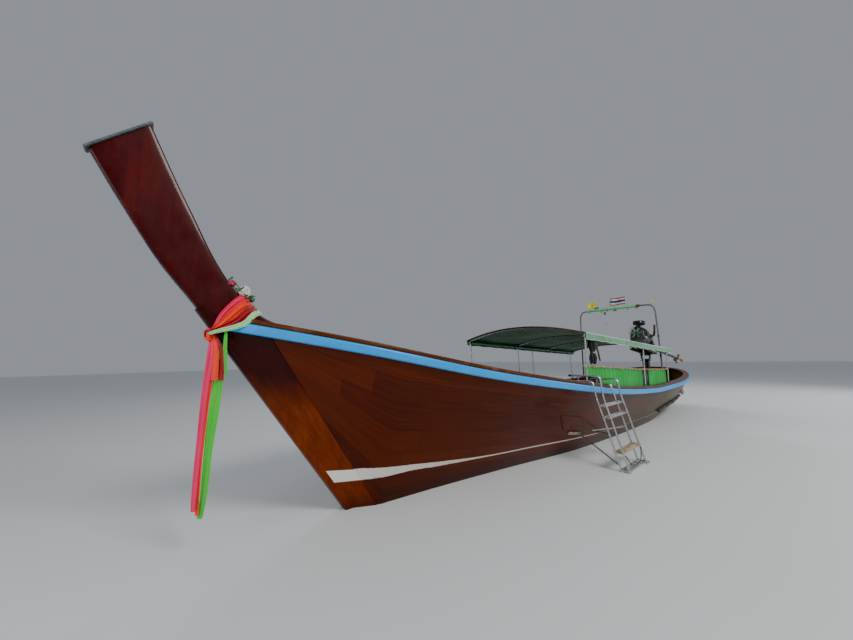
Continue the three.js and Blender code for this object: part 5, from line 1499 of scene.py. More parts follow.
# Stern frame, rolled awning and flags
def stern_frame():
    """The galvanised frame behind the canopy: two legs on flanges, swept in over the top, with two
    thin staffs, clamps, and a pulley with its line to starboard of the middle."""
    side = [(FRAME_X, y, z) for y, z in (
        (FRAME_FOOT_Y, 0.552), (FRAME_FOOT_Y, 0.611), (0.878, 0.95), (0.87, 1.5), (0.853, 2.36),
        (0.835, 2.47),
        (0.79, 2.53), (0.72, 2.557), (0.5, FRAME_Z), (0.0, FRAME_Z),
    )]
    path = spline(side + [(x, -y, z) for x, y, z in side[-2::-1]], 160)
    flange = [(0, 0.045), (0.005, 0.045), (0.007, 0.040), (0.009, 0.024), (0.04, 0.021), (0.042, 0.017)]
    feet = [turned((FRAME_X, s * FRAME_FOOT_Y, 0.5515), (0, 0, 1), flange) for s in (-1, 1)]
    clamps = [rod((FRAME_X - 0.001, y, 2.545), (FRAME_X - 0.001, y, 2.575), 0.022, 14, 0.003)
              for y in STAFF_YS]
    wraps = [lashing((FRAME_X, 0.865, 1.82), (0, 0, 1), 0.0175, 5, 0.009, 0.004),
             lashing((FRAME_X, 0.872, 1.38), (0, 0, 1), 0.0175, 6, 0.009, 0.004)]
    piece("stern_frame_pipe",
          [(tube(path, FRAME_PIPE, 16), GALVANISED), (feet + clamps, RUSTED), (wraps, DARK_ROPE)],
          stands_for=["stern_frame"])
    knob = [(0, 0.006), (0.002, 0.009), (0.008, 0.011), (0.014, 0.008), (0.017, 0.001)]
    staffs = [rod((FRAME_X, y, FRAME_Z), (FRAME_X, y, 2.852), 0.006, 10, 0.001) for y in STAFF_YS]
    tips = [turned((FRAME_X, y, 2.85), (0, 0, 1), knob, 12) for y in STAFF_YS]
    piece("flag_staffs", [(staffs + tips, PALE_STRIP)])
    x, y = FRAME_X + 0.030, -0.22
    wheel = turned((x, y, 2.452), (1, 0, 0),
                   [(-0.011, 0.024), (-0.009, 0.026), (-0.004, 0.019), (0.004, 0.019), (0.009, 0.026),
                    (0.011, 0.024)], 20)
    cheeks = [block((x + s * 0.015 - 0.002, x + s * 0.015 + 0.002), (y - 0.013, y + 0.013), (2.425, 2.492),
                    0.0015)
              for s in (-1, 1)]
    axle = rod((x - 0.019, y, 2.452), (x + 0.019, y, 2.452), 0.004, 10, 0.001)
    shackle = tube(spline([(x + 0.014, y, 2.484), (x + 0.006, y, 2.502), (x - 0.010, y, 2.512),
                           (FRAME_X + 0.002, y, 2.541)], 14), 0.0035, 8)
    hook = tube(spline([(x, y + 0.025, 2.205), (x, y + 0.026, 2.185), (x, y + 0.014, 2.168),
                        (x, y + 0.002, 2.182)], 20), 0.004, 8)
    piece("pulley", [(wheel, BRONZE), (cheeks + [axle, shackle], GALVANISED)])
    snap = piece("line_hook", [(hook, GALVANISED)])
    line = [(x + 0.004, y + 0.0235, 2.502), (x, y + 0.0235, 2.450), (x + 0.002, y + 0.025, 2.32),
            (x, y + 0.025, 2.208)]
    hanging_cord("pulley_line", line, 0.0035, PALE_ROPE)


def wound(radius, turns, y, centre, wobble, thick):
    """A rolled cloth: in section a spiral whose radius grows by one cloth and a little air each turn,
    r = r0 + pitch·a/2π, with slack that waves along the roll."""
    a = np.linspace(0, 2 * np.pi * turns, int(turns * 26))[None]
    pitch = (radius - 0.006) / turns
    y = y[:, None]
    slack = 1 + wobble * np.sin(y * 31 + a * 0.5) * (a / a.max())
    r = (0.006 + pitch * a / (2 * np.pi)) * slack
    return cloth(np.stack([centre[0] + r * np.cos(a), y + 0 * a, centre[1] + r * np.sin(a)], -1), thick)


def awning():
    """The rolled awning under the frame's head: light green, with a dark brown length near port."""
    centre = (FRAME_X + 0.0582, 2.552)
    for part, y0, y1, finish in (("green", -0.65, 0.49, AWNING_CLOTH), ("brown", 0.492, 0.56, BROWN_TAPE)):
        y = np.linspace(y0, y1, 60)
        roll = wound(0.040, 2.6, y, centre, 0.05, 0.0025)
        made = piece(f"awning_roll_{part}", [(roll, finish)],
                     stands_for=["rolled_awning"] if part == "green" else ())
    ties = [lashing((FRAME_X + 0.036, y, 2.554), (0, 1, 0), 0.044, 3, 0.007, 0.003, 1.0, 1.55)
            for y in (-0.60, -0.30, 0.0, 0.30, 0.50)]
    piece("awning_lashings", [(ties, PALE_ROPE)])


def with_stripes(made, across, along):
    """Gives a cloth its stripe map: the flat grid's values, repeated for its two sides in their order."""
    flat = np.stack(np.broadcast_arrays(across, along), -1)
    made["layers"] = {"stripe": np.concatenate([flat, flat[:, ::-1]], 1).reshape(-1, 2)}
    return made


def flying(name, hoist, high, length, finish, stands_for, waves, deep, drop):
    """A flag: y runs away from its staff, it sways by deep·u·sin(waves·2πu) and drops by drop·u^1.5."""
    u = np.linspace(0, 1, 44)[:, None]
    v = np.linspace(0, 1, 17)[None]
    y = hoist[1] - length * u * (1 - 0.06 * u) + 0 * v
    x = hoist[0] + deep * u * np.sin(waves * 2 * np.pi * u + 0.9 * v) + 0.004 * np.sin(9 * v + 5 * u) * u
    z = hoist[2] + high * (v - 0.5) * (1 - 0.05 * u) - drop * u**1.5 + 0.007 * np.sin(7 * u + 2 * v) * u
    made = cloth(np.stack([x, y, z], -1), 0.0014)
    if finish is FLAG_STRIPES:
        made = with_stripes(made, v, u)
    sheet = piece(name, [(made, finish)], stands_for=[stands_for])


def flags():
    """A yellow flag, a striped one, a dark bow, small streamers and the corner ornament."""
    flying("yellow_flag", (FRAME_X, -0.437, 2.712), 0.145, 0.205, YELLOW_CLOTH, "flag_yellow", 1.2, 0.02,
           0.012)
    flying("striped_flag", (FRAME_X, 0.2532, 2.732), 0.185, 0.370, FLAG_STRIPES, "flag_striped", 1.4, 0.026,
           0.008)
    v = np.linspace(0, 1, 9)[None]
    a = np.linspace(0, 2 * np.pi, 40)[:, None]
    bow = np.stack([FRAME_X - 0.010 + 0.012 * np.cos(a) + 0 * v,
                    -0.43 + 0.052 * np.sin(a) * np.abs(np.sin(a)) + 0.002 * v,
                    2.615 + 0.018 * np.sin(2 * a) + 0.030 * (v - 0.5)], -1)
    made = piece("dark_bow", [(cloth(bow, 0.0016), DARK_CLOTH)])
    for k, (y, z, long) in enumerate(((0.02, 2.596, 0.16), (-0.18, 2.596, 0.14), (0.44, 2.60, 0.13))):
        t = np.linspace(0, 1, 24)[:, None]
        w = np.linspace(-0.5, 0.5, 7)[None]
        sway = 0.014 * t * np.sin(6 * t + k)
        grid = np.stack([FRAME_X - 0.022 - 0.02 * t + sway + 0 * w,
                         y + 0.05 * w * (1 - 0.3 * t) + 0.8 * sway,
                         z + 0.030 * np.sin(np.pi * t) - long * t**1.4 * 0.6 + 0 * w], -1)
        made = with_stripes(cloth(grid, 0.0012), t, w + 0.5)
        streamer = piece(f"streamer_{k + 1}", [(made, STREAMER)])
    blooms = bloom([(9, 0.030, 0.017, 0.010, 0), (7, 0.022, 0.013, 0.014, 0.002)])
    aim = unit(rng.normal(size=(14, 3)) + (0.3, 0.5, 0))
    at = np.array([FRAME_X, 0.800, 2.610]) + aim * (0.012, 0.014, 0.055)
    piece("corner_ornament", [(scattered(blooms, at[:7], turned_to(aim[:7]), 0.8), WHITE_PETAL),
                              (scattered(blooms, at[7:], turned_to(aim[7:]), 0.8), YELLOW_CLOTH)])


stern_frame()
awning()
flags()


# Boarding ladder on the port side
def ladder_rest(x):
    return float(sheer(x + 0.012) + CAP_TOP + 0.0098)


def leaned(y, z):
    """How far out a stile stands at a height: its leg leans out by LADDER_LEAN from bend to foot."""
    return y + LADDER_LEAN * (LADDER_BEND_Z - z) / LADDER_DROP


def stile_path(x, y, reach, lift):
    """Over the cap and down: a hook, a bend and a leg that leans out towards the waterline."""
    hook = ladder_rest(x) + lift
    return spline([(x, y - reach, hook - 0.002), (x, y - reach + 0.06, hook), (x, y - 0.070, hook),
                   (x, y - 0.026, hook - 0.006),
                   (x, y - 0.004, hook - 0.036)] + [(x, leaned(y, z), z)
                                                    for z in (0.88, 0.6, 0.3, LADDER_FOOT_Z)], 90)


def tread_of(z):
    near, far = leaned(np.array(STILE_YS), z)
    return near - 0.004, far + 0.004


def boarding_ladder():
    """Two pairs of bright stiles with flat ribbed treads and collars, short posts on the cap, rubber at
    both ends, one bare wooden tread lashed on, two struts to the hull and two free cords."""
    steel, dull, feet = [], [], []
    for x in STILE_XS:
        for y, reach, lift in ((STILE_YS[0], 0.30, 0.0), (STILE_YS[1], 0.42, 0.07)):
            path = stile_path(x, y, reach, lift)
            steel.append(tube(path, STILE_PIPE, 14))
            feet.append(rod(path[-1] + (0, 0, -0.004), path[-5], STILE_PIPE + 0.004, 14, 0.003))
            feet.append(rod(path[0] + (0, -0.001, 0), path[2], STILE_PIPE + 0.003, 14, 0.003))
    steel += [rod((x, 0.972, ladder_rest(x)), (x, 0.972, ladder_rest(x) + 0.07), 0.008, 10)
              for x in STILE_XS]
    for z in TREAD_ZS:
        near, far = tread_of(z)
        x0, x1 = STILE_XS[0] - 0.012, STILE_XS[1] + 0.012
        steel.append(block((x0, x1), (near, far), (z - 0.008, z + 0.008), 0.004))
        dull += [rod((x0 + 0.03, y, z + 0.0078), (x1 - 0.03, y, z + 0.0078), 0.0028, 6)
                 for y in np.linspace(near + 0.02, far - 0.02, 4)]
        dull += [rod((x, y + 0.02, z), (x, y - 0.02, z), STILE_PIPE + 0.003, 12, 0.003) for x in STILE_XS
                 for y in (near + 0.016, far - 0.016)]
    piece("ladder_steel", [(steel, STEEL), (dull, STEEL), (feet, RUBBER)],
          stands_for=["ladder"])
    near, far = tread_of(WOOD_TREAD_Z - 0.017)
    board = block((STILE_XS[0] + 0.004, STILE_XS[1] - 0.004), (near + 0.008, far - 0.008),
                  (WOOD_TREAD_Z - 0.034, WOOD_TREAD_Z), 0.006)
    piece("wood_tread_board", [(board, TREAD_WOOD)], stands_for=["ladder_wood_tread"])
    ropes = [lashing((x, y, WOOD_TREAD_Z - 0.017), (0, 0, 1), 0.0165, 5, 0.007, 0.003, 1.1)
             for x in (STILE_XS[0] + 0.006, STILE_XS[1] - 0.006) for y in (near + 0.004, far - 0.004)]
    x0, x1 = STILE_XS
    y_low = tread_of(0.02)[1]
    piece("ladder_lashings", [(ropes, PALE_ROPE)])
    z = WOOD_TREAD_Z - 0.045
    hanging_cord("ladder_droop", [(x0 + 0.016, far + 0.012, z), (x0 + 0.09, far + 0.035, 0.115),
                                  (x0 + 0.19, far + 0.05, 0.070),
                                  (x1 - 0.17, far + 0.055, 0.062), (x1 - 0.07, far + 0.045, 0.10),
                                  (x1 - 0.016, far + 0.016, z)],
                 0.0055, DARK_ROPE)
    hanging_cord("ladder_loop", [(x0 - 0.010, y_low + 0.018, 0.035), (x0 - 0.050, y_low + 0.040, -0.03),
                                 (x0 - 0.050, y_low + 0.065, -0.10),
                                 (x0 + 0.010, y_low + 0.080, -0.135), (x0 + 0.065, y_low + 0.070, -0.10),
                                 (x0 + 0.070, y_low + 0.045, -0.03),
                                 (x0 + 0.040, y_low + 0.018, 0.020)], 0.0055, DARK_ROPE)
    stand_off = 0.012
    struts = [rod((0.248, 0.783 + stand_off, 0.301), (0.546, 1.395, 0.075), 0.009, 10, 0.002),
              rod((-0.403, 0.802 + stand_off, 0.233), (0.0, 1.12, 0.29), 0.009, 10, 0.002)]
    pad = [(0, 0.030), (0.012, 0.030), (0.014, 0.027), (0.018, 0.012)]
    plates = [turned(at, (0.1, 0.95, -0.2), pad, 16) for at in ((0.25, 0.785, 0.30), (-0.40, 0.804, 0.235))]
    piece("ladder_struts", [(struts, BARE_ALUMINIUM), (plates, GALVANISED)])


boarding_ladder()


# Fender on the stern quarter
def stern_fender():
    """A dark rope fender along the port quarter, thick in its middle, with lashings and a pink float."""
    path = spline([(-3.07, 0.896, 0.228), (-3.52, 0.91, 0.279), (-4.26, 0.891, 0.313),
                   (-5.24, 0.82, 0.365)], 220)
    swell = 0.017 + 0.010 * np.sin(np.pi * np.linspace(0, 1, 220)) ** 0.6
    core = tube(path, swell * (1 + 0.06 * np.sin(np.arange(220) * 1.1)), 14)
    wraps = [lashing(path[i], path[i + 1] - path[i], float(swell[i]) + 0.001, 6, 0.009, 0.0045)
             for i in (6, 58, 110, 162, 212)]
    ends = [rope(spline([path[i] + (0, 0.01, 0.02), path[i] + (0.01, -0.014, 0.08),
                         path[i] + (0.0, -0.012, 0.15)], 16), 0.005, 0.06)
            for i in (6, 110, 212)]
    piece("quarter_fender", [([core] + wraps + ends, DARK_ROPE)])
    bulb = turned((-5.285, 0.862, 0.53), (0, 0.05, -1), [(0, 0.008), (0.01, 0.022), (0.04, 0.042),
                                                         (0.08, 0.046), (0.12, 0.038), (0.15, 0.012)], 20)
    piece("pink_float", [(bulb, PINK_PLASTIC)])


stern_fender()


# Engine stand
def bolt_head(radius=0.008, high=0.007):
    return turned((0, 0, 0), (0, 0, 1), [(0, radius * 1.6), (0.0015, radius * 1.6), (0.0016, radius),
                                         (high, radius * 0.94), (high + 0.001, 0.001)], 6)


def engine_stand():
    """Pedestal: base plate with bolts, square post with a welded gusset and collar."""
    x = PIVOT_X
    base = block((-5.97, -5.59), (-0.17, 0.17), (0.6143, 0.64), 0.006)
    post = block((x - 0.075, x + 0.075), (-0.075, 0.075), (0.64, 1.228), 0.010)
    head = block((x - 0.11, x + 0.11), (-0.11, 0.11), (1.226, 1.25), 0.005)
    gusset = plate([(-5.735, 0.634), (-5.60, 0.634), (-5.60, 0.66), (-5.715, 1.10), (-5.735, 1.12)],
                   [(-0.03, 0.97), (-0.026, 1), (0.026, 1), (0.03, 0.97)])
    bolts = [(px, py, 0.639) for px in (-5.93, -5.63) for py in (-0.13, 0.13)] + [(-5.78, -0.13, 0.639),
                                                                                  (-5.78, 0.13, 0.639)]
    caps = [(x + sx * 0.09, sy * 0.09, 1.249) for sx in (-1, 1) for sy in (-1, 1)]
    welds = [lashing((x, 0, 0.642), (0, 0, 1), 0.080, 1, 0.001, 0.006)]
    piece("engine_stand", [([base, post, head, gusset], ENGINE_BLACK),
                           ([scattered(bolt_head(0.011), bolts),
                             scattered(bolt_head(0.006, 0.002), caps)] + welds, RUSTED)],
          stands_for=["engine_pedestal"])


engine_stand()


# Steering yoke
def yoke():
    """Turntable with bolts on its king pin, and two rounded cheeks with bosses and nuts on the cross
    pin."""
    at = np.array([PIVOT_X, 0, PIVOT_Z])
    turntable = turned(at + (0, 0, -0.1497), (0, 0, 1),
                       [(0, 0.092), (0.003, 0.095), (0.0247, 0.095), (0.0277, 0.092)], 40)
    a = np.linspace(0, np.pi, 16)
    outline = np.r_[[(0.055, -0.125), (0.050, -0.03)], np.stack([0.040 * np.cos(a), 0.040 * np.sin(a)], 1),
                    [(-0.050, -0.03), (-0.055, -0.125)]]
    edge = ((-0.010, 0.96), (-0.007, 1.0), (0.007, 1.0), (0.010, 0.96))
    cheeks = [plate(outline + at[[0, 2]], [(y + d, scale) for d, scale in edge], at[[0, 2]])
              for y in (-0.102, 0.102)]
    bosses = [rod(at + (0, s * 0.108, 0), at + (0, s * 0.128, 0), 0.027, 20, 0.003) for s in (-1, 1)]
    nuts = [turned(at + (0, s * 0.126, 0), (0, s, 0),
                   [(0, 0.020), (0.012, 0.020), (0.014, 0.017), (0.0141, 0.0001)], 6) for s in (-1, 1)]
    ring = [(at[0] + 0.078 * np.cos(t), 0.078 * np.sin(t), at[2] - 0.1215)
            for t in np.arange(6) * np.pi / 3 + 0.5]
    pin = rod(at + (0, 0, -0.268), at + (0, 0, -0.15), 0.0235, 24, 0.002)
    tilt_pin = rod(at + (0, -0.103, 0), at + (0, 0.103, 0), 0.0178, 20)
    piece("steering_yoke",
          [([turntable, pin] + cheeks, ENGINE_BLACK), (bosses + [tilt_pin], CAST_GREY), (nuts, RUSTED),
           (scattered(bolt_head(0.006, 0.005), ring), RUSTED)], body="swivel",
          stands_for=["swivel_yoke"])


# Engine, drawn in the tilting frame
def mm(*numbers):
    return np.array(numbers, float) / 1000.0


def tilting(parts):
    """Carries bodies drawn about the tilting pin into the boat's frame."""
    return [(([moved(s, tilted) for s in made] if isinstance(made, list) else moved(made, tilted)), finish)
            for made, finish in parts]


def along_engine(outline, x0, x1, soft):
    """A cross-section in y and z carried from x0 to x1, drawn in a little at both ends."""
    outline = np.asarray(outline, float)
    mid = outline.mean(0)
    t = [(x0, 0.0), (x0 + soft * 0.3, 0.7), (x0 + soft, 1.0), (x1 - soft, 1.0), (x1 - soft * 0.3, 0.7),
         (x1, 0.0)]
    reach = np.abs(outline - mid).max()
    rings = [np.c_[np.full(len(outline), x), mid + (outline - mid) * (1 - soft * (1 - s) / reach)] for x,
             s in t]
    return shell(np.stack(rings))


def engine_bed():
    """Bed: two rails and cross bars with bolts, an end plate, the pin's sleeve between two webs, and
    rubber engine mounts."""
    rails = [block((-0.430, 0.660), sorted((s * 0.133, s * 0.177)), (0.050, 0.104), 0.006) for s in (-1, 1)]
    bars = [block((x, x + 0.068), (-0.16, 0.16), (0.050, 0.0965), 0.005)
            for x in (-0.420, -0.034, 0.330, 0.592)]
    sleeve = rod((0, -0.0835, 0), (0, 0.0835, 0), 0.034, 24, 0.003)
    webs = [block((-0.030, 0.030), (s * 0.060 - 0.006, s * 0.060 + 0.006), (0.010, 0.060), 0.002)
            for s in (-1, 1)]
    end_plate = block((0.658, 0.672), (-0.06, 0.06), (0.050, 0.104), 0.003)
    mounts = [turned((x, s * 0.155, 0.1035), (0, 0, 1),
                     [(0, 0.034), (0.004, 0.034), (0.006, 0.026), (0.018, 0.030), (0.030, 0.026)], 18)
              for x in (0.06, 0.47) for s in (-1, 1)]
    heads = [(x, s * 0.155, 0.1038) for x in (-0.38, -0.20, 0.22, 0.36, 0.62) for s in (-1, 1)]
    piece("engine_bed_frame",
          tilting([(rails + bars + webs + [end_plate], ENGINE_BLACK), (sleeve, CAST_GREY), (mounts, RUBBER),
                   (scattered(bolt_head(), heads), RUSTED)]), body="engine",
          stands_for=["engine_bed"])


def crankcase():
    """Block: a deep crankcase with a sump below it, ribs, core plugs, bolts and mounting feet."""
    half = [(0.060, 0.150), (0.118, 0.168), (0.150, 0.215), (0.172, 0.30), (0.176, 0.42), (0.160, 0.47),
            (0.155, 0.575), (0.130, 0.600)]
    outline = spline([(0, y, z) for y, z in half], 26)[:, 1:]
    outline = np.r_[outline, (outline * (-1, 1))[::-1]]
    body = along_engine(outline, -0.060, 0.620, 0.014)
    feet = [block(run, sorted((s * 0.135, s * 0.175)), (0.130, 0.232), 0.006)
            for run in ((0.020, 0.100), (0.430, 0.510)) for s in (-1, 1)]
    ribs = [block((x - 0.005, x + 0.005), (s * 0.172 - 0.010, s * 0.172 + 0.008), (0.27, 0.57), 0.003)
            for x in np.linspace(0.0, 0.56, 7) for s in (-1, 1)]
    plugs = [turned((x, s * 0.168, 0.50), (0, s, 0),
                    [(0, 0.026), (0.010, 0.026), (0.012, 0.022), (0.008, 0.018), (0.007, 0.001)], 18)
             for x in (0.08, 0.24, 0.40) for s in (-1, 1)]
    sump = along_engine(np.array([(-0.115, 0.168), (0.115, 0.168), (0.105, 0.128), (0.085, 0.112),
                                  (-0.085, 0.112), (-0.105, 0.128)]), 0.11, 0.42, 0.012)
    bolts = np.array([(x, s * 0.140, 0.1725) for x in np.linspace(-0.02, 0.58, 9) for s in (-1, 1)])
    piece("engine_crankcase", tilting([([body, sump] + ribs + feet, CAST_GREY), (plugs, GALVANISED),
                                       (scattered(bolt_head(0.006, 0.005), bolts), RUSTED)]), body="engine",
          stands_for=["engine_block"])


def cylinder_head():
    """Head and rocker cover: finned sides, a domed cover with nuts, injectors and their bent pipes."""
    head = block((-0.030, 0.580), (-0.110, 0.110), (0.588, 0.668), 0.008)
    a = np.linspace(0, np.pi, 15)
    cover = np.r_[np.stack([0.086 * np.cos(a), 0.682 + 0.066 * np.sin(a) ** 0.8], 1),
                  [(-0.090, 0.664), (0.090, 0.664)]]
    top = along_engine(cover, 0.0, 0.545, 0.018)
    fins = [block((-0.026, 0.576), (-0.114, 0.114), (z - 0.003, z + 0.003), 0.002)
            for z in (0.604, 0.622, 0.640, 0.658)]
    nuts = scattered(bolt_head(0.010, 0.010), [(x, 0, 0.745) for x in (0.10, 0.27, 0.44)])
    studs = scattered(bolt_head(0.008, 0.010),
                      [(x, s * 0.097, 0.667) for x in np.linspace(0.01, 0.54, 6) for s in (-1, 1)])
    jets, pipes = [], []
    for k, x in enumerate((0.06, 0.20, 0.34, 0.48)):
        jets.append(turned((x, -0.100, 0.655), (0, -0.25, 1),
                           [(0, 0.013), (0.020, 0.013), (0.022, 0.008), (0.045, 0.008), (0.046, 0.006),
                            (0.058, 0.006)], 12))
        pipes.append(tube(spline([(x, -0.114, 0.705), (x + 0.01, -0.124, 0.735), (x + 0.02, -0.172, 0.70),
                                  (0.24 + 0.02 * k, -0.200, 0.60),
                                  (0.24 + 0.024 * k, -0.205, 0.48)], 34), 0.0032, 8))
    piece("cylinder_head", tilting([([head, top], ENGINE_BLACK), (fins, CAST_GREY), ([nuts, studs], RUSTED),
                                    (jets, CAST_GREY),
                                    (pipes, BARE_ALUMINIUM)]), body="engine")


def belt_drive():
    """Front of the engine: crank, fan and alternator pulleys with one belt round all three, the
    alternator, the radiator, and six fan blades in a wire guard."""
    wide, fan_z = 0.030, 0.520

    def wheel(y, z, r):
        rim = [(0, 0.30), (0, 0.92), (0.002, 1), (0.007, 1), (wide / 2, 0.88), (wide - 0.007, 1),
               (wide - 0.002, 1),
               (wide, 0.92), (wide - 0.006, 0.55), (wide - 0.004, 0.25), (wide + 0.004, 0.22)]
        return turned((0.652 - wide / 2, y, z), (1, 0, 0), [(along, share * r) for along, share in rim], 32)

    centres = [(0.0, CRANK_Z, 0.088), (0.0, fan_z, 0.070), (0.140, 0.400, 0.034)]
    wheels = [wheel(*c) for c in centres]
    nose = rod((0.612, 0, CRANK_Z), (0.682, 0, CRANK_Z), 0.028, 20, 0.003)
    hubs = [rod((0.612, y, z), (0.668, y, z), 0.016, 14, 0.002) for y, z, r in centres[1:]]
    ring = []
    for (y, z, r), (a0, a1) in zip((centres[0], centres[2], centres[1]),
                                   ((-np.pi, -0.35), (-0.35, 0.62), (0.62, np.pi))):
        a = np.linspace(a0, a1, 22)
        ring.append(np.stack([0 * a + 0.652, y + (r + 0.001) * np.cos(a), z + (r + 0.001) * np.sin(a)], 1))
    path = spline(np.r_[ring[0], ring[1], ring[2]], 160)
    belt = carried(path[:-1], rounded(0.012, 0.008, 0.002), lean=(1, 0, 0), ends="loop")
    blades = []
    for k in range(6):
        a = k * np.pi / 3
        u = np.linspace(0, 1, 8)[:, None]
        v = np.linspace(-0.5, 0.5, 6)[None]
        r = 0.028 + 0.112 * u
        chord = 0.8 * (0.055 + 0.02 * u)
        y = r * np.cos(a) - v * chord * np.sin(a)
        z = fan_z + r * np.sin(a) + v * chord * np.cos(a)
        blades.append(cloth(np.stack([0.700 + v * 0.030 + 0 * u, y, z], -1), 0.0025))
    t = np.arange(48) * np.pi / 24
    guard = [tube(np.stack([0 * t + x, r * np.cos(t), fan_z + r * np.sin(t)], 1), 0.004, 8, ends="loop")
             for r, x in ((0.165, 0.720), (0.110, 0.730))]
    spokes = [rod((0.715, 0.168 * np.cos(t), fan_z + 0.168 * np.sin(t)),
                  (0.732, 0.03 * np.cos(t), fan_z + 0.03 * np.sin(t)), 0.003, 6)
              for t in np.arange(10) * np.pi / 5]
    alternator = turned((0.50, 0.185, 0.400), (1, 0, 0), [(0, 0.030), (0.004, 0.036), (0.03, 0.038),
                                                          (0.10, 0.038), (0.125, 0.032), (0.13, 0.012)], 20)
    radiator = block((0.585, 0.616), (-0.135, 0.115), (0.40, 0.640), 0.010)
    piece("belt_drive",
          tilting([(wheels + [nose] + hubs, CAST_GREY), (belt, RUBBER), (blades, PALE_GREEN_METAL),
                   (guard + spokes, ENGINE_BLACK), (alternator, BARE_ALUMINIUM),
                                 (radiator, ENGINE_BLACK)]),
          body="engine")


def side_gear():
    """Both sides: injection pump and filter to starboard, starter, hose and dipstick to port, and a
    wire from one side to the other."""
    pump = along_engine(np.array([(-0.225, 0.35), (-0.172, 0.35), (-0.172, 0.47), (-0.225, 0.47)]), 0.22,
                        0.42, 0.008)
    drum = turned((0.11, -0.205, 0.27), (0, 0, 1), [(0, 0.022), (0.006, 0.036), (0.11, 0.036),
                                                    (0.118, 0.030), (0.124, 0.020), (0.140, 0.018)], 20)
    starter = rod((-0.02, 0.200, 0.285), (0.17, 0.200, 0.285), 0.040, 22, 0.006)
    solenoid = rod((0.02, 0.208, 0.350), (0.12, 0.208, 0.350), 0.022, 16, 0.004)
    hose = tube(spline([(0.60, 0.06, 0.600), (0.57, 0.10, 0.655), (0.54, 0.150, 0.62), (0.50, 0.192, 0.52),
                        (0.505, 0.19, 0.44)], 50), 0.017, 12)
    clips = [lashing((0.60, 0.062, 0.603), (-0.5, 0.5, 0.7), 0.018, 1, 0.002, 0.002)]
    wire = tube(spline([(0.07, 0.212, 0.372), (0.10, 0.222, 0.43), (0.0, 0.200, 0.55), (-0.05, 0.12, 0.56),
                        (-0.20, -0.10, 0.40), (-0.30, -0.14, 0.30)], 60), 0.0055, 8)
    stick = tube(spline([(0.30, 0.178, 0.30), (0.30, 0.186, 0.42), (0.31, 0.180, 0.56),
                         (0.31, 0.176, 0.60)], 30), 0.004, 8)
    a = np.arange(24) * np.pi / 12
    pull = np.stack([0.31 + 0.012 * np.cos(a), 0 * a + 0.176, 0.612 + 0.012 * np.sin(a)], 1)
    ring = tube(pull, 0.0025, 6, ends="loop")
    piece("engine_side_gear",
          tilting([(pump, BARE_ALUMINIUM), (drum, PALE_GREEN_METAL), ([starter, solenoid], ENGINE_BLACK),
                   (hose, RUBBER), (clips, STEEL), (wire, RUBBER), ([stick, ring], GALVANISED)]),
          body="engine")


def gearbox():
    """Bell housing, ribbed gearbox with bolts round its flange, and its shift lever."""
    bell = turned((-0.0603, 0, CRANK_Z), (-1, 0, 0), [(0, 0.138), (0.004, 0.145), (0.014, 0.145),
                                                      (0.018, 0.139), (0.070, 0.132), (0.0897, 0.126)], 40)
    neck = turned((-0.14, 0, CRANK_Z), (-1, 0, 0),
                  [(0, 0.092), (0.006, 0.095), (0.09, 0.090), (0.16, 0.078), (0.205, 0.070), (0.209, 0.076),
                   (0.2185, 0.074), (0.22, 0.062)], 36)
    box = block((-0.330, -0.150), (-0.060, 0.060), (0.130, 0.250), 0.010)
    ribs = [turned((x, 0, CRANK_Z), (-1, 0, 0), [(0, 0.080), (0.001, r), (0.007, r), (0.008, 0.080)], 36)
            for x, r in ((-0.17, 0.099), (-0.22, 0.095), (-0.27, 0.089))]
    a = np.arange(10) * np.pi / 5 + 0.3
    heads = np.stack([0 * a - 0.078, 0.132 * np.cos(a), CRANK_Z + 0.132 * np.sin(a)], 1)
    bolts = scattered(bolt_head(0.008), heads, turned_to(np.tile([-1.0, 0, 0], (10, 1))))
    lever = [tube(spline([(-0.25, 0.060, 0.29), (-0.25, 0.105, 0.31), (-0.24, 0.115, 0.42)], 24), 0.007,
                  10),
             turned((-0.24, 0.115, 0.415), (0, 0, 1),
                    [(0, 0.008), (0.008, 0.016), (0.022, 0.016), (0.030, 0.004)], 14)]
    piece("gearbox_case",
          tilting([([bell, neck, box] + ribs, CAST_GREY), (bolts, RUSTED), (lever, GALVANISED)]),
          body="engine", stands_for=["gearbox"])


def exhaust():
    """Rusted exhaust: two branches and a flange at the block, and a bent pipe wrapped in three places."""
    path = spline([mm(120, 166, 500), mm(120, 200, 500), mm(113, 226, 505), mm(84, 252, 530),
                   mm(58, 262, 600), mm(40, 265, 690), mm(20, 265, 838)], 90)
    pipe = tube(path, 0.0255, 18)
    wrap = [lashing(path[i], path[i + 1] - path[i], 0.0262, 4, 0.010, 0.0035) for i in (24, 34, 44)]
    flange = turned(mm(120, 168, 500), (0, 1, 0),
                    [(0, 0.042), (0.010, 0.042), (0.011, 0.040), (0.012, 0.026)], 20)
    manifold = [tube(spline([mm(x, 100, 560), mm(x, 150, 556), mm(120, 182, 505)], 24), 0.016, 12)
                for x in (40, 200)]
    piece("exhaust_stack", tilting([([pipe] + wrap + [flange] + manifold, RUSTED)]), body="engine",
          stands_for=["exhaust_pipe"])


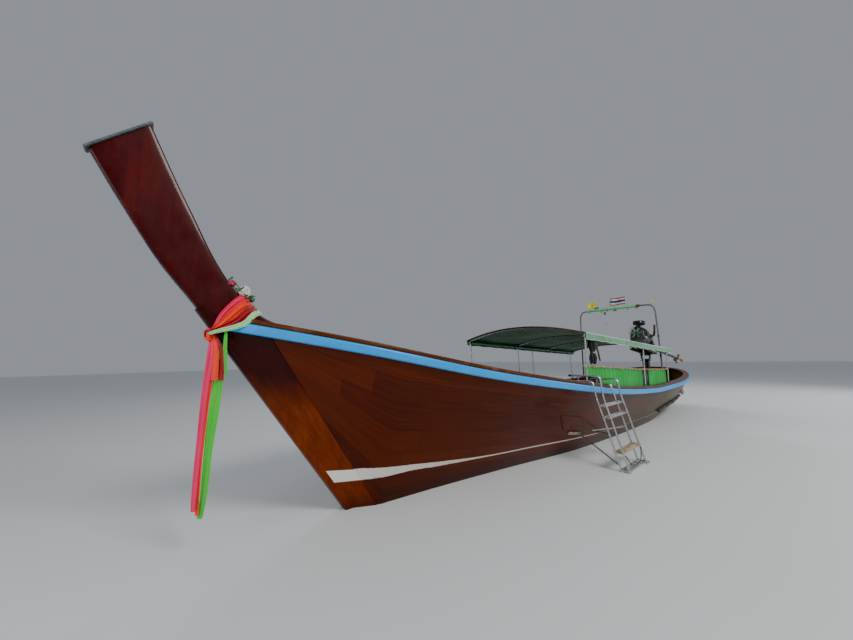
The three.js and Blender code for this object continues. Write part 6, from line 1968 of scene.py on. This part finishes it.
def air_filter():
    """Round filter drum with a lipped lid, four clips and a nut, on its stem."""
    at = mm(300, -35, 750)
    stem = turned(at, (0, 0, 1), [(0, 0.040), (0.004, 0.040), (0.008, 0.034), (0.070, 0.034)], 26)
    drum = turned(at + (0, 0, 0.060), (0, 0, 1),
                  [(0, 0.040), (0.001, 0.120), (0.008, 0.144), (0.022, 0.149), (0.070, 0.149),
                   (0.073, 0.1455), (0.080, 0.1455),
                   (0.082, 0.150), (0.096, 0.150), (0.106, 0.140), (0.111, 0.10), (0.1125, 0.03)], 48)
    nut = turned(at + (0, 0, 0.170), (0, 0, 1), [(0, 0.020), (0.001, 0.016), (0.005, 0.0155)], 6)
    a = np.arange(4) * np.pi / 2 + 0.6
    clips = scattered(block((-0.006, 0.006), (0.146, 0.1535), (0.10, 0.155), 0.002), np.tile(at, (4, 1)),
                      spins(a))
    piece("air_filter_drum", tilting([([stem, drum], ENGINE_BLACK), (nut, GALVANISED), (clips, STEEL)]),
          body="engine",
          stands_for=["air_filter"])


def fuel_tank():
    """Plastic tank on the bed: rounded walls with two moulded grooves, a cap, strap and fuel hose."""
    z = np.linspace(0.1045, 0.379, 40)
    soft = 0.022
    draw = np.maximum(0, soft - np.minimum(z - z[0], z[-1] - z)) / soft
    inset = soft * (1 - np.sqrt(np.clip(1 - draw**2, 0, 1)))
    groove = 0.004 * (np.exp(-((z - 0.19) / 0.006) ** 2) + np.exp(-((z - 0.29) / 0.006) ** 2))
    d = inset + groove
    rings = np.stack([np.c_[rounded(0.209 - 2 * k, 0.154 - 2 * k, 0.028 - min(k, 0.02) * 0.8,
                                    6) + (-0.320, -0.2125), np.full(24, h)] for k, h in zip(d, z)])
    cap = turned((-0.37, -0.2125, 0.377), (0, 0, 1),
                 [(0, 0.030), (0.004, 0.034), (0.020, 0.034), (0.025, 0.028), (0.0255, 0.004)], 24)
    strap = carried(np.array([(-0.32, y, h) for y,
                              h in ((-0.2895, 0.115), (-0.2915, 0.24), (-0.2905, 0.372), (-0.2125, 0.3815),
                                    (-0.1345, 0.372), (-0.1335, 0.24), (-0.1345, 0.115))]),
                    rounded(0.026, 0.003, 0.001), lean=(0, 0.01, 0.02))
    hose = tube(spline([(-0.25, -0.1345, 0.13), (-0.20, -0.10, 0.16), (-0.02, -0.188, 0.28),
                        (0.08, -0.21, 0.30)], 50), 0.005, 8)
    piece("fuel_can", tilting([(shell(rings), TANK_PLASTIC), ([cap, strap, hose], RUBBER)]), body="engine",
          stands_for=["fuel_tank"])


def tiller():
    """The long tiller bar with its sleeve and ribbed grip, and the throttle cable tied along it."""
    start, end = mm(662, 0, 76), mm(1900, 0, 96)
    bar = tube(start + (end - start) * np.linspace(0, 1, 20)[:, None], np.linspace(0.021, 0.018, 20), 18)

    def at(x):
        return start + (end - start) * ((x - start[0]) / (end[0] - start[0]))

    grip = turned(at(1.67), end - start,
                  [(0, 0.024), (0.003, 0.030),
                   (0.02, 0.030)] + [(0.03 + 0.012 * k, 0.030 - 0.0018 * (k % 2)) for k in range(16)]
                  + [(0.222, 0.030), (0.228, 0.026), (0.2295, 0.004)], 20)
    sleeve = rod(at(0.664), at(0.74), 0.028, 20, 0.003)
    x = np.linspace(0.70, 1.66, 70)
    cable = np.stack([x, 0.004 + 0.003 * np.sin(x * 9),
                      np.interp(x, (start[0], end[0]),
                                (start[2], end[2])) + 0.0245 + 0.004 * np.abs(np.sin(x * 12))], 1)
    ties = [lashing(at(k), end - start, 0.023, 3, 0.006, 0.0025, 1.0, 1.15)
            for k in (0.86, 1.12, 1.38, 1.60)]
    piece("tiller_bar", tilting([(bar, ENGINE_BLACK), (sleeve, CAST_GREY),
                                 ([grip, tube(cable, 0.0035, 8)], RUBBER), (ties, PALE_ROPE)]),
          body="engine", stands_for=["tiller"])


def tail_tube():
    """The long shaft tube, thinner towards its end, with collars, grease nipples and the skeg."""
    x = np.linspace(-0.3605, -3.395, 60)
    tube_body = tube(np.stack([x, 0 * x, 0 * x + CRANK_Z], 1), np.interp(-x, (0.36, 3.4), (0.0378, 0.0298)),
                     22)
    collars = [rod((k - 0.03, 0, CRANK_Z), (k + 0.03, 0, CRANK_Z),
                   float(np.interp(-k, (0.36, 3.4), (0.043, 0.036))), 22, 0.004)
               for k in (-0.40, -1.15, -1.95, -2.75, -3.36)]
    nipples = scattered(turned((0, 0, 0), (0, 0, 1), [(0, 0.006), (0.008, 0.006), (0.009, 0.003),
                                                      (0.014, 0.004), (0.015, 0.001)], 8),
                        [(k, 0, CRANK_Z + 0.036) for k in (-1.15, -1.95, -2.75)])
    skeg = plate([(-2.91, 0.235), (-3.25, 0.235), (-3.31, 0.065), (-3.285, 0.058), (-3.215, 0.060)],
                 [(-0.007, 0.965), (-0.004, 1.0), (0.004, 1.0), (0.007, 0.965)])
    piece("tail_shaft_tube", tilting([(tube_body, ENGINE_BLACK), (collars, RUSTED), (nipples, BRONZE)]),
          body="engine",
          stands_for=["tail_tube"])
    piece("tail_skeg", tilting([(skeg, ENGINE_BLACK)]), body="engine")


def screw_propeller():
    """Three-bladed screw: each blade's radius runs from 24 to 166 mm, its chord swells to 91 mm and its
    pitch angle falls as atan(0.17/2πr), r in metres; the hub is turned, with a stretch of shaft."""
    u = np.linspace(0, 1, 22)[:, None]
    v = np.linspace(-1, 1, 13)[None]
    r = 0.024 + 0.142 * u
    chord = 0.048 * np.sqrt(np.clip(1 - (2 * np.clip(u, 0, 1) - 0.95) ** 4, 0.02, 1)) * (0.72 + 0.36 * u)
    chord = chord * np.where(u > 0.86, np.sqrt(np.clip(1 - ((u - 0.86) / 0.142) ** 2, 0.01, 1)), 1)
    pitch = np.arctan2(0.17, 2 * np.pi * r)
    sweep = 0.18 * u**2
    angle = v * chord / r * np.cos(pitch) + sweep
    lift = v * chord * np.sin(pitch)
    thick = 0.0035 * (1 - v**2) * (1.15 - u) + 0.0007
    at = np.array([-TAIL_END, 0, CRANK_Z])
    blades = []
    for turn in (0.0, 2 * np.pi / 3, 4 * np.pi / 3):
        y, z = r * np.sin(angle + turn), r * np.cos(angle + turn)
        face, back = (np.stack([np.clip(lift + side * thick, -0.040, 0.040), y, z], -1) + at
                      for side in (1, -1))
        blades.append(shell(np.concatenate([face, back[:, ::-1]], 1)))
    hub = turned(at + (0.038, 0, 0), (-1, 0, 0), [(0, 0.026), (0.004, 0.0295), (0.04, 0.0295),
                                                  (0.060, 0.026), (0.074, 0.019), (0.0828, 0.010)], 32)
    shaft = rod(at + (0.030, 0, 0), at + (0.47, 0, 0), 0.0168, 16, 0.002)
    piece("bronze_screw", tilting([(blades + [hub], BRONZE), (shaft, STEEL)]), body="propeller",
          stands_for=["propeller"])


yoke()
engine_bed()
crankcase()
cylinder_head()
belt_drive()
side_gear()
gearbox()
exhaust()
air_filter()
fuel_tank()
tiller()
tail_tube()
screw_propeller()


# Finishes on the CAD bodies that stay
KEPT = {
    "keel": STEM_VARNISH, "stem_post": STEM_VARNISH, "stern_post": STEM_VARNISH,
    "frames_aft": PLAIN_WOOD, "frames_middle": PLAIN_WOOD, "frames_fore": PLAIN_WOOD,
    "riser_port": PLAIN_WOOD, "riser_starboard": PLAIN_WOOD, "floorboards": DECK_PAINT,
    "foredeck": DECK_VARNISH, "aft_deck": DECK_PAINT,
}
for kept_name, finish in KEPT.items():
    for kept_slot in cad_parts[kept_name].material_slots:
        kept_slot.material = finish.material
